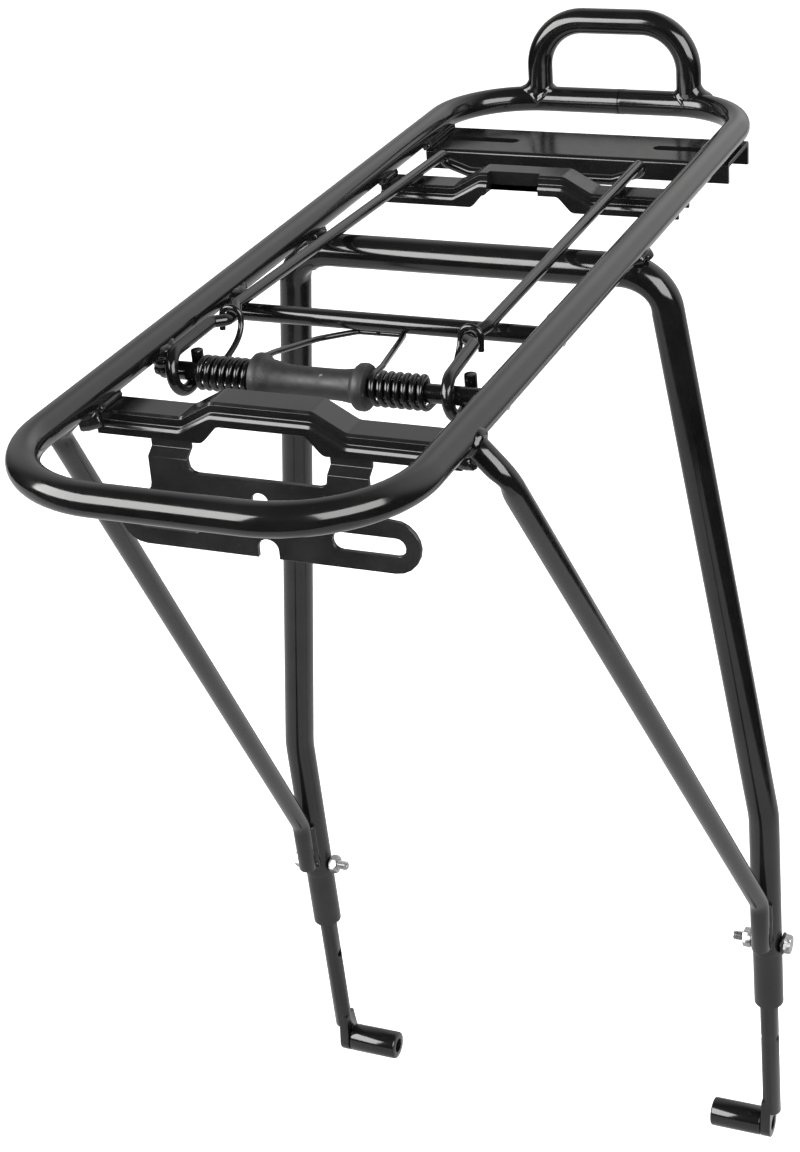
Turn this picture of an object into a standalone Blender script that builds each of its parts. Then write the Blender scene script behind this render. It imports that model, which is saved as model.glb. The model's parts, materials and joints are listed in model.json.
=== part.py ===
"""Rear rack for a bicycle: steel tube deck with a sprung bag clamp and two telescopic legs.

Frame: metres, +Z up, +Y towards the front of the bicycle, +X to its right.
The origin is the middle of the line through the two foot holes, where the wheel axle's eyelets are.
"""
import math

import bmesh
import bpy
from mathutils import Matrix, Vector

MM = 0.001
GAP = 0.3 * MM              # left between two pieces that are welded or that touch

# Deck loop: one round tube bent to a rounded rectangle
DECK_R = 5.0 * MM
DECK_Z = 405.0 * MM         # tube centre line above the foot holes
DECK_HALF_W = 60.8 * MM     # centre line of a rail
REAR_Y = -267.5 * MM
FRONT_Y = 122.9 * MM
REAR_BEND_R = 38.0 * MM
FRONT_BEND_R = 34.0 * MM

# Front hoop, standing on the front bar
HOOP_CENTRE_X = 2.0 * MM
HOOP_HALF_W = 31.2 * MM
HOOP_TOP = 32.5 * MM        # centre line above the deck's
HOOP_BEND_R = 19.0 * MM

# Legs: one tube bent to an upside-down U, its crossbar welded under the rails
LEG_R = 6.0 * MM
LEG_BORE_R = 4.5 * MM
LEG_BAR_Z = DECK_Z - DECK_R - LEG_R - GAP
LEG_BAR_Y = -36.4 * MM
LEG_TOP_X = 68.5 * MM
LEG_TOP_BEND_R = 16.0 * MM
FOOT_X = 99.4 * MM
LEG_LEAN = 0.0925           # forward travel of a leg per unit of height, below its lower bend
LEG_BEND_Z = 166.0 * MM
LEG_BEND_R = 45.0 * MM
LEG_END_Z = 70.2 * MM

# Stays: from the rails, beside the rear cross-member, down to the legs
STAY_R = 3.8 * MM
STAY_TOP_Y = -202.1 * MM
STAY_BEND = (73.2 * MM, STAY_TOP_Y, DECK_Z - 13.0 * MM)
STAY_BEND_R = 11.0 * MM
STAY_FOOT_Z = 129.0 * MM
STAY_END_Z = 105.5 * MM
STAY_FOOT_R = 14.0 * MM

# Leg extensions, their bushes and bolts
ROD_R = 3.8 * MM
ROD_TOP_Z = 147.0 * MM
TAB_TOP_Z = 11.0 * MM
TAB_T = 4.0 * MM
TAB_R = 6.1 * MM
BUSH_R = 6.1 * MM
BUSH_BORE_R = 3.2 * MM
BUSH_INNER_X = 73.5 * MM
BOLT_Z = 102.0 * MM
BOLT_R = 2.0 * MM
BOLT_HOLE_R = 2.3 * MM
BOLT_HEAD_AF = 7.0 * MM
BOLT_HEAD_H = 2.8 * MM
BOLT_END_X = 85.5 * MM
NUT_T = 3.2 * MM
WASHER_R = 4.5 * MM
WASHER_T = 0.8 * MM
SLIDE_UP = 15.0 * MM        # travel of a leg extension into its tube
SLIDE_DOWN = 30.0 * MM      # and out of it
ROD_HOLE_Z = 50.5 * MM

# Stamped cross-members
MEMBER_HALF_W = 6.0 * MM
MEMBER_SKIRT = 1.5 * MM     # how far a skirt stands out from the wall above it
MEMBER_H = 7.2 * MM
MEMBER_T = 1.5 * MM
MEMBER_RISE = 5.9 * MM      # height of the raised middle above the low flats
MEMBER_RAMP = (16.5 * MM, 27.0 * MM)
REAR_MEMBER = (-4.2 * MM, -193.8 * MM)   # centre in X and Y
REAR_MEMBER_ENDS = (-59.2 * MM, 59.2 * MM)
FRONT_MEMBER = (-2.4 * MM, 28.4 * MM)
FRONT_MEMBER_ENDS = (-59.2 * MM, 58.2 * MM)
SKIRT_RAMP = (14.5 * MM, 19.8 * MM)    # the skirts' lower edge drops sooner than the top
NOTCH_X = (-15.7 * MM, 4.3 * MM)       # recess in the rear wall of the front cross-member
NOTCH_DEPTH = 3.1 * MM

# Front channel that carries the seat-stay brackets
CHANNEL_X = 3.1 * MM
CHANNEL_HALF_L = 61.4 * MM
CHANNEL_Y = (66.5 * MM, 96.8 * MM)
CHANNEL_H = 8.0 * MM
CHANNEL_T = 1.8 * MM
SLOT_X = (27.6 * MM, 57.6 * MM)
SLOT_HALF_W = 3.0 * MM

# Lamp plate
PLATE_X = -4.8 * MM
PLATE_Y = -202.6 * MM       # its rear face
PLATE_T = 1.7 * MM
PLATE_TOP_Z = DECK_Z - 22.0 * MM
PLATE_LOW_Z = DECK_Z - 47.7 * MM
LOBE_X = 41.3 * MM
LOBE_R = 8.7 * MM
TAB_X = (23.0 * MM, 36.2 * MM)
TAB_SHIFT = -1.2 * MM        # both tabs sit this far off the plate's centre
TAB_END_Z = DECK_Z - 10.7 * MM
JOGGLE_Z = (DECK_Z - 18.4 * MM, DECK_Z - 14.8 * MM)
JOGGLE = 3.1 * MM
LAMP_SLOT_X = (24.6 * MM, 42.2 * MM)
LAMP_SLOT_R = 3.05 * MM
LAMP_HOLE_R = 2.8 * MM
LAMP_HOLE_X = -6.0 * MM
LAMP_NOTCH_H = 2.8 * MM      # straight part below the notch's round top
LAMP_NOTCH_R = 3.5 * MM

# Clamp: pivot rod, its stop bar, sleeve, bail and torsion spring
PIVOT_Y = -159.1 * MM
PIVOT_R = 3.0 * MM
PIVOT_Z = DECK_Z - DECK_R - PIVOT_R - GAP
STOP_Y = -107.2 * MM
BAR_HALF_L = 58.4 * MM
CLAMP_X = -6.0 * MM
BAIL_R = 2.0 * MM
EYE_R = 6.4 * MM
EYE_SHIFT = (-0.8 * MM, 0.6 * MM)   # the eye hangs a little behind and above the axle's centre
EYE_STEP = 3.8 * MM         # sideways travel of the bail's rod round its eye
STUB_H = 4.6 * MM
LINK_HALF = 46.4 * MM
KINK_HALF = 41.6 * MM
ARM_REAR_HALF = 44.2 * MM
ARM_FRONT_HALF = 39.6 * MM
CROSS_HALF = 29.0 * MM
KINK_Y = -130.0 * MM
BAIL_FRONT_Y = 54.3 * MM
ARM_REAR_Z = DECK_Z - 0.3 * MM
ARM_FRONT_Z = DECK_Z - 3.0 * MM
CROSS_Z = DECK_Z - 10.0 * MM
WIRE_R = 1.0 * MM
COIL_R = 4.75 * MM
COIL_TURNS = 7
COIL_LEFT = (-44.1 * MM, -27.3 * MM)
COIL_RIGHT = (14.9 * MM, 32.2 * MM)
HOOK_R = 3.4 * MM
SLEEVE_X = (-25.8 * MM, 13.3 * MM)
SLEEVE_FLANGE_R = (7.9 * MM, 7.5 * MM)   # left and right
SLEEVE_WAIST_R = 4.9 * MM
SLEEVE_BORE_R = 3.35 * MM

BLACK = (0.012, 0.012, 0.013, 1.0)


def clear_scene():
    for obj in list(bpy.data.objects):
        bpy.data.objects.remove(obj, do_unlink=True)


def material(name, colour, roughness, metallic=0.0):
    mat = bpy.data.materials.new(name)
    mat.use_nodes = True
    shader = mat.node_tree.nodes["Principled BSDF"]
    shader.inputs["Base Color"].default_value = colour
    shader.inputs["Roughness"].default_value = roughness
    shader.inputs["Metallic"].default_value = metallic
    return mat


def add_object(name, bm, colour=BLACK, roughness=0.25, metallic=0.0, origin=(0, 0, 0)):
    """Make an object whose mesh is given in world coordinates and whose origin is at origin."""
    bmesh.ops.recalc_face_normals(bm, faces=bm.faces)
    bm.transform(Matrix.Translation(-Vector(origin)))
    mesh = bpy.data.meshes.new(name)
    bm.to_mesh(mesh)
    bm.free()
    mesh.shade_smooth()
    mesh.set_sharp_from_angle(angle=math.radians(35))
    obj = bpy.data.objects.new(name, mesh)
    obj.location = origin
    mesh.materials.append(material(name, colour, roughness, metallic))
    bpy.context.collection.objects.link(obj)
    return obj


def cut(obj, bm, name):
    """Cut the closed mesh bm out of obj."""
    boolean(obj, bm, name, "DIFFERENCE")


def join(obj, bm, name):
    """Join the closed mesh bm to obj."""
    boolean(obj, bm, name, "UNION")


def boolean(obj, bm, name, operation):
    tool = add_object(name, bm)
    tool.hide_render = True
    tool.display_type = "WIRE"
    modifier = obj.modifiers.new(name, "BOOLEAN")
    modifier.operation = operation
    modifier.solver = "EXACT"
    modifier.object = tool


# ---------------------------------------------------------------- paths and sweeps

def bent_path(corners, radii, steps=6, closed=False):
    """Points along straight runs between corners, with a round bend of each radius at each corner."""
    points = []
    count = len(corners)
    for i, corner in enumerate(corners):
        here = Vector(corner)
        if not closed and i in (0, count - 1):
            points.append(here)
            continue
        back = (Vector(corners[i - 1]) - here).normalized()
        ahead = (Vector(corners[(i + 1) % count]) - here).normalized()
        points += bend(here, back, ahead, radii[i], steps)
    return points


def bend(corner, back, ahead, radius, steps):
    """Points on the arc of radius that touches the two directions leaving corner."""
    half = back.angle(ahead) / 2
    if radius <= 0 or abs(half - math.pi / 2) < 1e-4:
        return [corner]
    middle = (back + ahead).normalized()
    centre = corner + middle * (radius / math.sin(half))
    start = corner + back * (radius / math.tan(half)) - centre
    axis = back.cross(ahead).normalized()
    turn = -(math.pi - 2 * half)
    return [centre + Matrix.Rotation(turn * k / steps, 3, axis) @ start for k in range(steps + 1)]


def frames(path, closed):
    """A side and an up vector across each point of a path, carried along it without twist."""
    count = len(path)
    tangents = []
    for i in range(count):
        if closed:
            step = path[(i + 1) % count] - path[i - 1]
        else:
            step = path[min(i + 1, count - 1)] - path[max(i - 1, 0)]
        tangents.append(step.normalized())
    guess = Vector((0, 0, 1)) if abs(tangents[0].z) < 0.9 else Vector((1, 0, 0))
    side = tangents[0].cross(guess).normalized()
    result = []
    for i, tangent in enumerate(tangents):
        if i:
            side = tangents[i - 1].rotation_difference(tangent) @ side
        side = (side - tangent * side.dot(tangent)).normalized()
        result.append((side, tangent.cross(side)))
    return result, tangents


def rings(bm, path, radius, sides, closed):
    """Rings of vertices across the path. At a corner a ring is stretched, so the tube keeps its size."""
    across, tangents = frames(path, closed)
    made = []
    count = len(path)
    for i, (point, (side, up)) in enumerate(zip(path, across)):
        ends = not closed and i in (0, count - 1)
        widen, mitre = 1.0, Vector((0, 0, 0))
        if not ends:
            before = (point - path[i - 1]).normalized()
            after = (path[(i + 1) % count] - point).normalized()
            widen = 1 / max(math.cos(before.angle(after, 0.0) / 2), 0.5)
            mitre = (after - before)
            mitre = mitre.normalized() if mitre.length > 1e-6 else Vector((0, 0, 0))
        ring = []
        for k in range(sides):
            turn = 2 * math.pi * k / sides
            out = side * math.cos(turn) + up * math.sin(turn)
            out += mitre * (out.dot(mitre) * (widen - 1))
            ring.append(bm.verts.new(point + out * radius))
        made.append(ring)
    return made


def skin(bm, made, closed, flip=False):
    """Join rings of vertices with faces."""
    pairs = list(zip(made, made[1:])) + ([(made[-1], made[0])] if closed else [])
    for first, second in pairs:
        count = len(first)
        for k in range(count):
            face = [first[k], first[(k + 1) % count], second[(k + 1) % count], second[k]]
            bm.faces.new(face[::-1] if flip else face)


def sweep(path, radius, sides=12, closed=False, bore=0.0):
    """A round rod along path, or a tube with an open bore when bore is given."""
    bm = bmesh.new()
    outer = rings(bm, path, radius, sides, closed)
    skin(bm, outer, closed)
    if bore:
        inner = rings(bm, path, bore, sides, closed)
        skin(bm, inner, closed, flip=True)
        skin(bm, [outer[0], inner[0]], False, flip=True)
        skin(bm, [outer[-1], inner[-1]], False)
    elif not closed:
        bm.faces.new(outer[0][::-1])
        bm.faces.new(outer[-1])
    return bm


def add_rod(bm, start, end, radius, sides=12):
    """Add one straight closed rod to a mesh."""
    made = rings(bm, [Vector(start), Vector(end)], radius, sides, False)
    skin(bm, made, False)
    bm.faces.new(made[0][::-1])
    bm.faces.new(made[-1])


def rod(start, end, radius, sides=12):
    bm = bmesh.new()
    add_rod(bm, start, end, radius, sides)
    return bm


def box(low, high):
    bm = bmesh.new()
    bmesh.ops.create_cube(bm, size=1.0)
    size = Vector(high) - Vector(low)
    bm.transform(Matrix.Diagonal((*size, 1.0)))
    bm.transform(Matrix.Translation((Vector(low) + Vector(high)) / 2))
    return bm


def prism(outline, low, high, place):
    """A flat outline given as pairs, drawn out from low to high; place turns (u, v, w) to XYZ."""
    bm = bmesh.new()
    ends = [[bm.verts.new(place(u, v, w)) for u, v in outline] for w in (low, high)]
    skin(bm, ends, False)
    bm.faces.new(ends[0][::-1])
    bm.faces.new(ends[1])
    return bm


def arc(centre, radius, start, end, steps):
    """Pairs along an arc, with the angles in degrees."""
    pairs = []
    for k in range(steps + 1):
        turn = math.radians(start + (end - start) * k / steps)
        pairs.append((centre[0] + radius * math.cos(turn), centre[1] + radius * math.sin(turn)))
    return pairs


def slot_outline(first, last, across, radius, steps=8):
    """A slot with round ends between two centres on one line."""
    return (arc((last, across), radius, -90, 90, steps)
            + arc((first, across), radius, 90, 270, steps))


def turned(profile, start, axis_point, sides=20):
    """A closed profile of (distance along X, radius) pairs, turned about a line along X."""
    bm = bmesh.new()
    made = []
    for k in range(sides):
        turn = 2 * math.pi * k / sides
        ring = []
        for along, radius in profile:
            y = axis_point[0] + radius * math.cos(turn)
            z = axis_point[1] + radius * math.sin(turn)
            ring.append(bm.verts.new((start + along, y, z)))
        made.append(ring)
    skin(bm, made, True)
    return bm


def leg_point(x, z):
    """The point at height z on the lower leg's centre line, which runs through the foot hole."""
    return Vector((x, -LEG_LEAN * z, z))


# ---------------------------------------------------------------- frame

def make_deck_loop():
    w = DECK_HALF_W
    corners = [(-w, REAR_Y, DECK_Z), (w, REAR_Y, DECK_Z), (w, FRONT_Y, DECK_Z), (-w, FRONT_Y, DECK_Z)]
    radii = [REAR_BEND_R, REAR_BEND_R, FRONT_BEND_R, FRONT_BEND_R]
    path = bent_path(corners, radii, 8, closed=True)
    add_object("deck_loop", sweep(path, DECK_R, 16, closed=True))


def make_front_hoop():
    foot_z = DECK_Z + DECK_R + GAP
    top_z = DECK_Z + HOOP_TOP
    left = HOOP_CENTRE_X - HOOP_HALF_W
    right = HOOP_CENTRE_X + HOOP_HALF_W
    corners = [(left, FRONT_Y, foot_z), (left, FRONT_Y, top_z), (right, FRONT_Y, top_z), (right, FRONT_Y, foot_z)]
    path = bent_path(corners, [0, HOOP_BEND_R, HOOP_BEND_R, 0], 8)
    add_object("front_hoop", sweep(path, DECK_R, 14))


def make_leg_tube():
    corners = []
    for side in (-1, 1):
        limb = [leg_point(side * FOOT_X, LEG_END_Z), leg_point(side * FOOT_X, LEG_BEND_Z),
                Vector((side * LEG_TOP_X, LEG_BAR_Y, LEG_BAR_Z))]
        corners += limb if side < 0 else limb[::-1]
    radii = [0, LEG_BEND_R, LEG_TOP_BEND_R, LEG_TOP_BEND_R, LEG_BEND_R, 0]
    tube = add_object("leg_tube", sweep(bent_path(corners, radii, 6), LEG_R, 16, bore=LEG_BORE_R))
    y = -LEG_LEAN * BOLT_Z
    holes = bmesh.new()
    for side in (-1, 1):
        near = side * (FOOT_X - 2 * LEG_R)
        far = side * (FOOT_X + 2 * LEG_R)
        add_rod(holes, (near, y, BOLT_Z), (far, y, BOLT_Z), BOLT_HOLE_R)
    cut(tube, holes, "leg_tube_holes")


def make_stay(side, name):
    rail = Vector((DECK_HALF_W, STAY_TOP_Y, DECK_Z))
    bend_at = Vector(STAY_BEND)
    outward = (bend_at - rail)
    outward.y = 0
    top = rail + outward.normalized() * (DECK_R + GAP)
    behind = LEG_R + STAY_R + GAP
    foot = leg_point(FOOT_X, STAY_FOOT_Z) - Vector((0, behind, 0))
    end = leg_point(FOOT_X, STAY_END_Z) - Vector((0, behind, 0))
    corners = [Vector((side * p.x, p.y, p.z)) for p in (top, bend_at, foot, end)]
    path = bent_path(corners, [0, STAY_BEND_R, STAY_FOOT_R, 0], 5)
    add_object(name, sweep(path, STAY_R, 12))


def member_section():
    """Cross-section of a cross-member as (across, height) pairs: a channel open below, with skirts."""
    wall, skirt, h = MEMBER_HALF_W, MEMBER_HALF_W + MEMBER_SKIRT, MEMBER_H
    bevel, shoulder = 0.8 * MM, 3.6 * MM
    drop, t = 0.8 * MM, MEMBER_T
    half = [(wall - bevel, 0), (wall, -bevel), (wall, -shoulder), (skirt, -shoulder - drop), (skirt, -h),
            (skirt - t, -h), (skirt - t, -shoulder - drop - 0.5 * MM), (wall - t, -shoulder - 0.5 * MM),
            (wall - t, -t)]
    return half + [(-a, z) for a, z in reversed(half)]


def ramp_share(x, ramp):
    """1 in the raised middle of a cross-member, 0 on its low flats, eased between."""
    inner, outer = ramp
    share = min(1.0, max(0.0, (outer - abs(x)) / (outer - inner)))
    return share * share * (3 - 2 * share) if ramp is SKIRT_RAMP else share


def member_stations():
    """Distances from a cross-member's centre at which its section is placed, on one side."""
    inner, outer = MEMBER_RAMP
    low, high = SKIRT_RAMP
    eased = [low + (high - low) * share for share in (0.0, 0.25, 0.5, 0.75, 1.0)]
    return sorted(eased + [inner, outer])


def make_member(name, centre, ends):
    cx, cy = centre
    top = DECK_Z - DECK_R - GAP
    half = member_stations()
    stations = [ends[0] - cx] + [-x for x in reversed(half)] + half + [ends[1] - cx]
    bm = bmesh.new()
    made = []
    for x in stations:
        ring = []
        for across, height in member_section():
            ramp = SKIRT_RAMP if height < -0.9 * MEMBER_H else MEMBER_RAMP
            z = top + height + MEMBER_RISE * ramp_share(x, ramp)
            ring.append(bm.verts.new((cx + x, cy + across, z)))
        made.append(ring)
    skin(bm, made, False)
    bm.faces.new(made[0][::-1])
    bm.faces.new(made[-1])
    return add_object(name, bm, roughness=0.3)


def make_front_member():
    """The front cross-member, with the middle of its rear wall set back."""
    member = make_member("front_cross_member", FRONT_MEMBER, FRONT_MEMBER_ENDS)
    cy = FRONT_MEMBER[1]
    top = DECK_Z - DECK_R - GAP + MEMBER_RISE
    outside = cy - MEMBER_HALF_W - MEMBER_SKIRT - 1.0 * MM
    wall = cy - MEMBER_HALF_W + NOTCH_DEPTH
    low, high = NOTCH_X
    cut(member, box((low, outside, top - 2 * MEMBER_H), (high, wall, top + 1.0 * MM)), "front_cross_member_notch")
    plate = box((low - 0.8 * MM, wall, top - MEMBER_H + 0.2 * MM),
                (high + 0.8 * MM, wall + MEMBER_T, top - 0.5 * MEMBER_T))
    join(member, plate, "front_cross_member_wall")


def make_front_channel():
    top = DECK_Z - DECK_R - GAP
    y0, y1 = CHANNEL_Y
    t, h, bevel = CHANNEL_T, CHANNEL_H, 1.0 * MM
    outline = [(y0, top - h), (y0, top - bevel), (y0 + bevel, top), (y1 - bevel, top), (y1, top - bevel),
               (y1, top - h), (y1 - t, top - h), (y1 - t, top - t), (y0 + t, top - t), (y0 + t, top - h)]
    left, right = CHANNEL_X - CHANNEL_HALF_L, CHANNEL_X + CHANNEL_HALF_L
    channel = add_object("front_channel", prism(outline, left, right, lambda u, v, w: (w, u, v)),
                         roughness=0.3)
    for side in (-1, 1):
        first, last = sorted((CHANNEL_X + side * SLOT_X[0], CHANNEL_X + side * SLOT_X[1]))
        outline = slot_outline(first + SLOT_HALF_W, last - SLOT_HALF_W, (y0 + y1) / 2, SLOT_HALF_W)
        slot = prism(outline, top - 2 * t, top + t, lambda u, v, w: (u, v, w))
        cut(channel, slot, "front_channel_slot_" + ("left" if side < 0 else "right"))


# ---------------------------------------------------------------- lamp plate

def plate_half(side):
    """One half of the lamp plate's outline, from the top middle to the bottom middle."""
    inner, outer = TAB_X[0] + side * TAB_SHIFT, TAB_X[1] + side * TAB_SHIFT
    fillet = 3.0 * MM
    lobe = (LOBE_X, PLATE_LOW_Z + LOBE_R)
    flare = 4.0 * MM
    half = [(inner - fillet, PLATE_TOP_Z)]
    half += arc((inner - fillet, PLATE_TOP_Z + fillet), fillet, -90, 0, 3)[1:]
    half += [(inner, JOGGLE_Z[0]), (outer, JOGGLE_Z[0])]
    half += [(outer, lobe[1] + LOBE_R + flare)]
    half += arc((outer + flare, lobe[1] + LOBE_R + flare), flare, 180, 270, 4)[1:]
    half += arc(lobe, LOBE_R, 90, -90, 10)[1:]
    half += [(LAMP_NOTCH_R, PLATE_LOW_Z)]
    half += arc((0, PLATE_LOW_Z + LAMP_NOTCH_H), LAMP_NOTCH_R, 0, 90, 5)
    return half


def plate_outline():
    left = [(-x, z) for x, z in plate_half(-1)]
    return plate_half(1) + left[-2::-1]


def draw_tabs(bm):
    """Draw the plate's two top edges upwards into tabs, stepped forward on the way."""
    low, high = JOGGLE_Z
    bmesh.ops.recalc_face_normals(bm, faces=bm.faces)
    for face in [f for f in bm.faces if f.normal.z > 0.9 and f.calc_center_median().z > low - 0.1 * MM]:
        for step in (Vector((0, JOGGLE, high - low)), Vector((0, 0, TAB_END_Z - high))):
            face = bmesh.ops.extrude_discrete_faces(bm, faces=[face])["faces"][0]
            bmesh.ops.translate(bm, verts=face.verts[:], vec=step)


def make_lamp_plate():
    bm = prism(plate_outline(), PLATE_Y, PLATE_Y + PLATE_T, lambda u, v, w: (PLATE_X + u, w, v))
    draw_tabs(bm)
    plate = add_object("lamp_plate", bm, (0.02, 0.02, 0.021, 1.0), 0.45)
    slot_z = PLATE_LOW_Z + LOBE_R
    for side in (-1, 1):
        first, last = sorted((PLATE_X + side * LAMP_SLOT_X[0], PLATE_X + side * LAMP_SLOT_X[1]))
        outline = slot_outline(first, last, slot_z, LAMP_SLOT_R)
        slot = prism(outline, PLATE_Y - PLATE_T, PLATE_Y + 2 * PLATE_T, lambda u, v, w: (u, w, v))
        cut(plate, slot, "lamp_slot_" + ("left" if side < 0 else "right"))
    hole_z = PLATE_TOP_Z - 7.0 * MM
    start = (LAMP_HOLE_X, PLATE_Y - PLATE_T, hole_z)
    hole = rod(start, (LAMP_HOLE_X, PLATE_Y + 2 * PLATE_T, hole_z), LAMP_HOLE_R, 16)
    cut(plate, hole, "lamp_hole")


# ---------------------------------------------------------------- clamp

def make_bars():
    for name, y in (("spring_axle", PIVOT_Y), ("spring_stop_bar", STOP_Y)):
        bm = rod((-BAR_HALF_L, y, PIVOT_Z), (BAR_HALF_L, y, PIVOT_Z), PIVOT_R, 14)
        add_object(name, bm, roughness=0.2)


def make_sleeve():
    length = SLEEVE_X[1] - SLEEVE_X[0]
    waist, bore = SLEEVE_WAIST_R, SLEEVE_BORE_R
    left, right = SLEEVE_FLANGE_R
    rim, round_off = 3.6 * MM, 1.0 * MM
    taper = (14.0 * MM, 7.5 * MM)     # where the waist starts, from the left and from the right end
    profile = [(0, bore), (0, left - round_off), (round_off, left), (rim, left),
               (rim + 1.4 * MM, left - 1.6 * MM), (taper[0], waist), (length - taper[1], waist),
               (length - rim - 1.2 * MM, right - 2.2 * MM), (length - rim, right), (length - round_off, right),
               (length, right - round_off), (length, bore)]
    bm = turned(profile, SLEEVE_X[0], (PIVOT_Y, PIVOT_Z), 20)
    add_object("spring_sleeve", bm, (0.03, 0.03, 0.03, 1.0), 0.75)


def eye_turn(x_link, steps=10):
    """The bail rod's way round the pivot: from the top, back, under and up in front, to a short end."""
    points = []
    for k in range(steps + 1):
        share = k / steps
        turn = math.radians(90 + 270 * share)
        points.append(Vector((x_link + EYE_STEP * share, PIVOT_Y + EYE_SHIFT[0] + EYE_R * math.cos(turn),
                              PIVOT_Z + EYE_SHIFT[1] + EYE_R * math.sin(turn))))
    stub = points[-1] + Vector((0, 0, STUB_H))
    return points + [stub]


def bail_arm(side):
    """Corners and bend radii of one side of the bail, from the eye to the dropped front bar."""
    x = [CLAMP_X + side * half for half in (LINK_HALF, KINK_HALF, ARM_REAR_HALF, ARM_FRONT_HALF)]
    front = BAIL_FRONT_Y
    corners = [((x[0] - side * 1.2 * MM, KINK_Y - 7.0 * MM, DECK_Z - 0.4 * MM), 3.0 * MM),
               ((x[1], KINK_Y - 3.2 * MM, DECK_Z - 0.8 * MM), 3.0 * MM),
               ((x[1], KINK_Y + 3.2 * MM, DECK_Z - 1.2 * MM), 3.0 * MM),
               ((x[2], KINK_Y + 8.5 * MM, ARM_REAR_Z), 3.0 * MM),
               ((x[3], front, ARM_FRONT_Z), 2.3 * MM),
               ((x[3] + side * 0.3 * MM, front + 0.8 * MM, ARM_FRONT_Z - 3.6 * MM), 2.15 * MM),
               ((CLAMP_X + side * CROSS_HALF, front, CROSS_Z), 5.0 * MM)]
    return corners


def make_bail():
    left = eye_turn(CLAMP_X - LINK_HALF)
    right = eye_turn(CLAMP_X + LINK_HALF)
    middle = bail_arm(-1) + bail_arm(1)[::-1]
    corners = [left[0]] + [Vector(point) for point, _ in middle] + [right[0]]
    radii = [0] + [radius for _, radius in middle] + [0]
    path = left[::-1][:-1] + bent_path(corners, radii, 3) + right[1:]
    add_object("clamp_bail", sweep(path, BAIL_R, 10), roughness=0.2, origin=(0, PIVOT_Y, PIVOT_Z))


def coil(x_start, x_end, start, turns, steps=10):
    """Helix about the pivot from x_start to x_end; start and the way round are in degrees."""
    count = int(round(abs(turns) * steps))
    points = []
    for k in range(count + 1):
        share = k / count
        turn = math.radians(start + 360 * turns * share)
        points.append(Vector((x_start + (x_end - x_start) * share, PIVOT_Y + COIL_R * math.cos(turn),
                              PIVOT_Z + COIL_R * math.sin(turn))))
    return points


def hook(side):
    """The spring leg's end: up on the bail's inner side, over the rod and down outside."""
    x = CLAMP_X + side * KINK_HALF
    y, z = KINK_Y, DECK_Z - 1.0 * MM
    inward = -side
    points = [Vector((x + inward * 2.2 * MM, y - 17.5 * MM, z - 11.5 * MM)),
              Vector((x + inward * 3.4 * MM, y - 5.5 * MM, z - 7.5 * MM)),
              Vector((x + inward * 3.6 * MM, y - 0.8 * MM, z - 3.4 * MM))]
    for k in range(7):
        turn = math.radians(10 + 185 * k / 6)
        points.append(Vector((x + inward * HOOK_R * math.cos(turn), y, z + HOOK_R * math.sin(turn))))
    return points + [Vector((x - inward * HOOK_R, y - 0.6 * MM, z - 4.6 * MM))]


def make_spring():
    below = PIVOT_Z - PIVOT_R - WIRE_R - GAP
    left = coil(COIL_LEFT[0], COIL_LEFT[1], 270, -COIL_TURNS + 0.5)
    right = coil(COIL_RIGHT[0], COIL_RIGHT[1], 90, COIL_TURNS - 0.5)
    bridge = [(COIL_LEFT[1] + 0.4 * MM, PIVOT_Y + 17.0 * MM, PIVOT_Z + 1.6 * MM),
              (-23.6 * MM, STOP_Y - 9.5 * MM, below + 0.8 * MM), (-14.0 * MM, STOP_Y + 1.2 * MM, below),
              (2.4 * MM, STOP_Y + 1.5 * MM, below),
              (COIL_RIGHT[0] - 0.3 * MM, PIVOT_Y + 7.0 * MM, PIVOT_Z + 4.3 * MM)]
    corners = [left[-1]] + [Vector(point) for point in bridge] + [right[0]]
    middle = bent_path(corners, [0, 8 * MM, 8 * MM, 3 * MM, 2.5 * MM, 2 * MM, 0], 2)
    path = hook(-1)[::-1] + left + middle[1:-1] + right + hook(1)
    add_object("torsion_spring", sweep(path, WIRE_R, 6), roughness=0.2)


# ---------------------------------------------------------------- leg extensions and fasteners

def make_extension(side, name):
    origin = leg_point(side * FOOT_X, LEG_END_Z)
    top = leg_point(side * FOOT_X, ROD_TOP_Z)
    low = leg_point(side * FOOT_X, TAB_TOP_Z - 3.0 * MM)
    piece = add_object(name, rod(low, top, ROD_R, 16), origin=origin)
    inner = FOOT_X - ROD_R + 0.1 * MM
    y = -LEG_LEAN * TAB_TOP_Z
    outline = [(y + TAB_R - 2.4 * MM, TAB_TOP_Z + 3.0 * MM), (y - TAB_R + 2.4 * MM, TAB_TOP_Z + 3.0 * MM)]
    outline += arc((0, 0), TAB_R, 180, 360, 12)
    tab = prism(outline, side * inner, side * (inner + TAB_T), lambda u, v, w: (w, u, v))
    join(piece, tab, name + "_tab")
    travel = (SLIDE_DOWN - SLIDE_UP) / 2
    slot_half = (SLIDE_DOWN + SLIDE_UP) / 2
    outline = [(y_at_slot(z, a), z) for a, z in
               slot_pairs(BOLT_Z + travel - slot_half, BOLT_Z + travel + slot_half, BOLT_HOLE_R)]
    through = (side * (FOOT_X - 2 * ROD_R), side * (FOOT_X + 2 * ROD_R))
    slot = prism(outline, through[0], through[1], lambda u, v, w: (w, u, v))
    cut(piece, slot, name + "_slot")
    holes = bmesh.new()
    for y, z, r in ((-LEG_LEAN * ROD_HOLE_Z, ROD_HOLE_Z, 1.9 * MM), (0, 0, BUSH_BORE_R)):
        add_rod(holes, (through[0], y, z), (through[1], y, z), r, 14)
    cut(piece, holes, name + "_holes")


def slot_pairs(low, high, radius):
    """An upright slot about the line x = 0, as (across, height) pairs."""
    return [(-v, u) for u, v in slot_outline(low, high, 0, radius, 6)]


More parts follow.
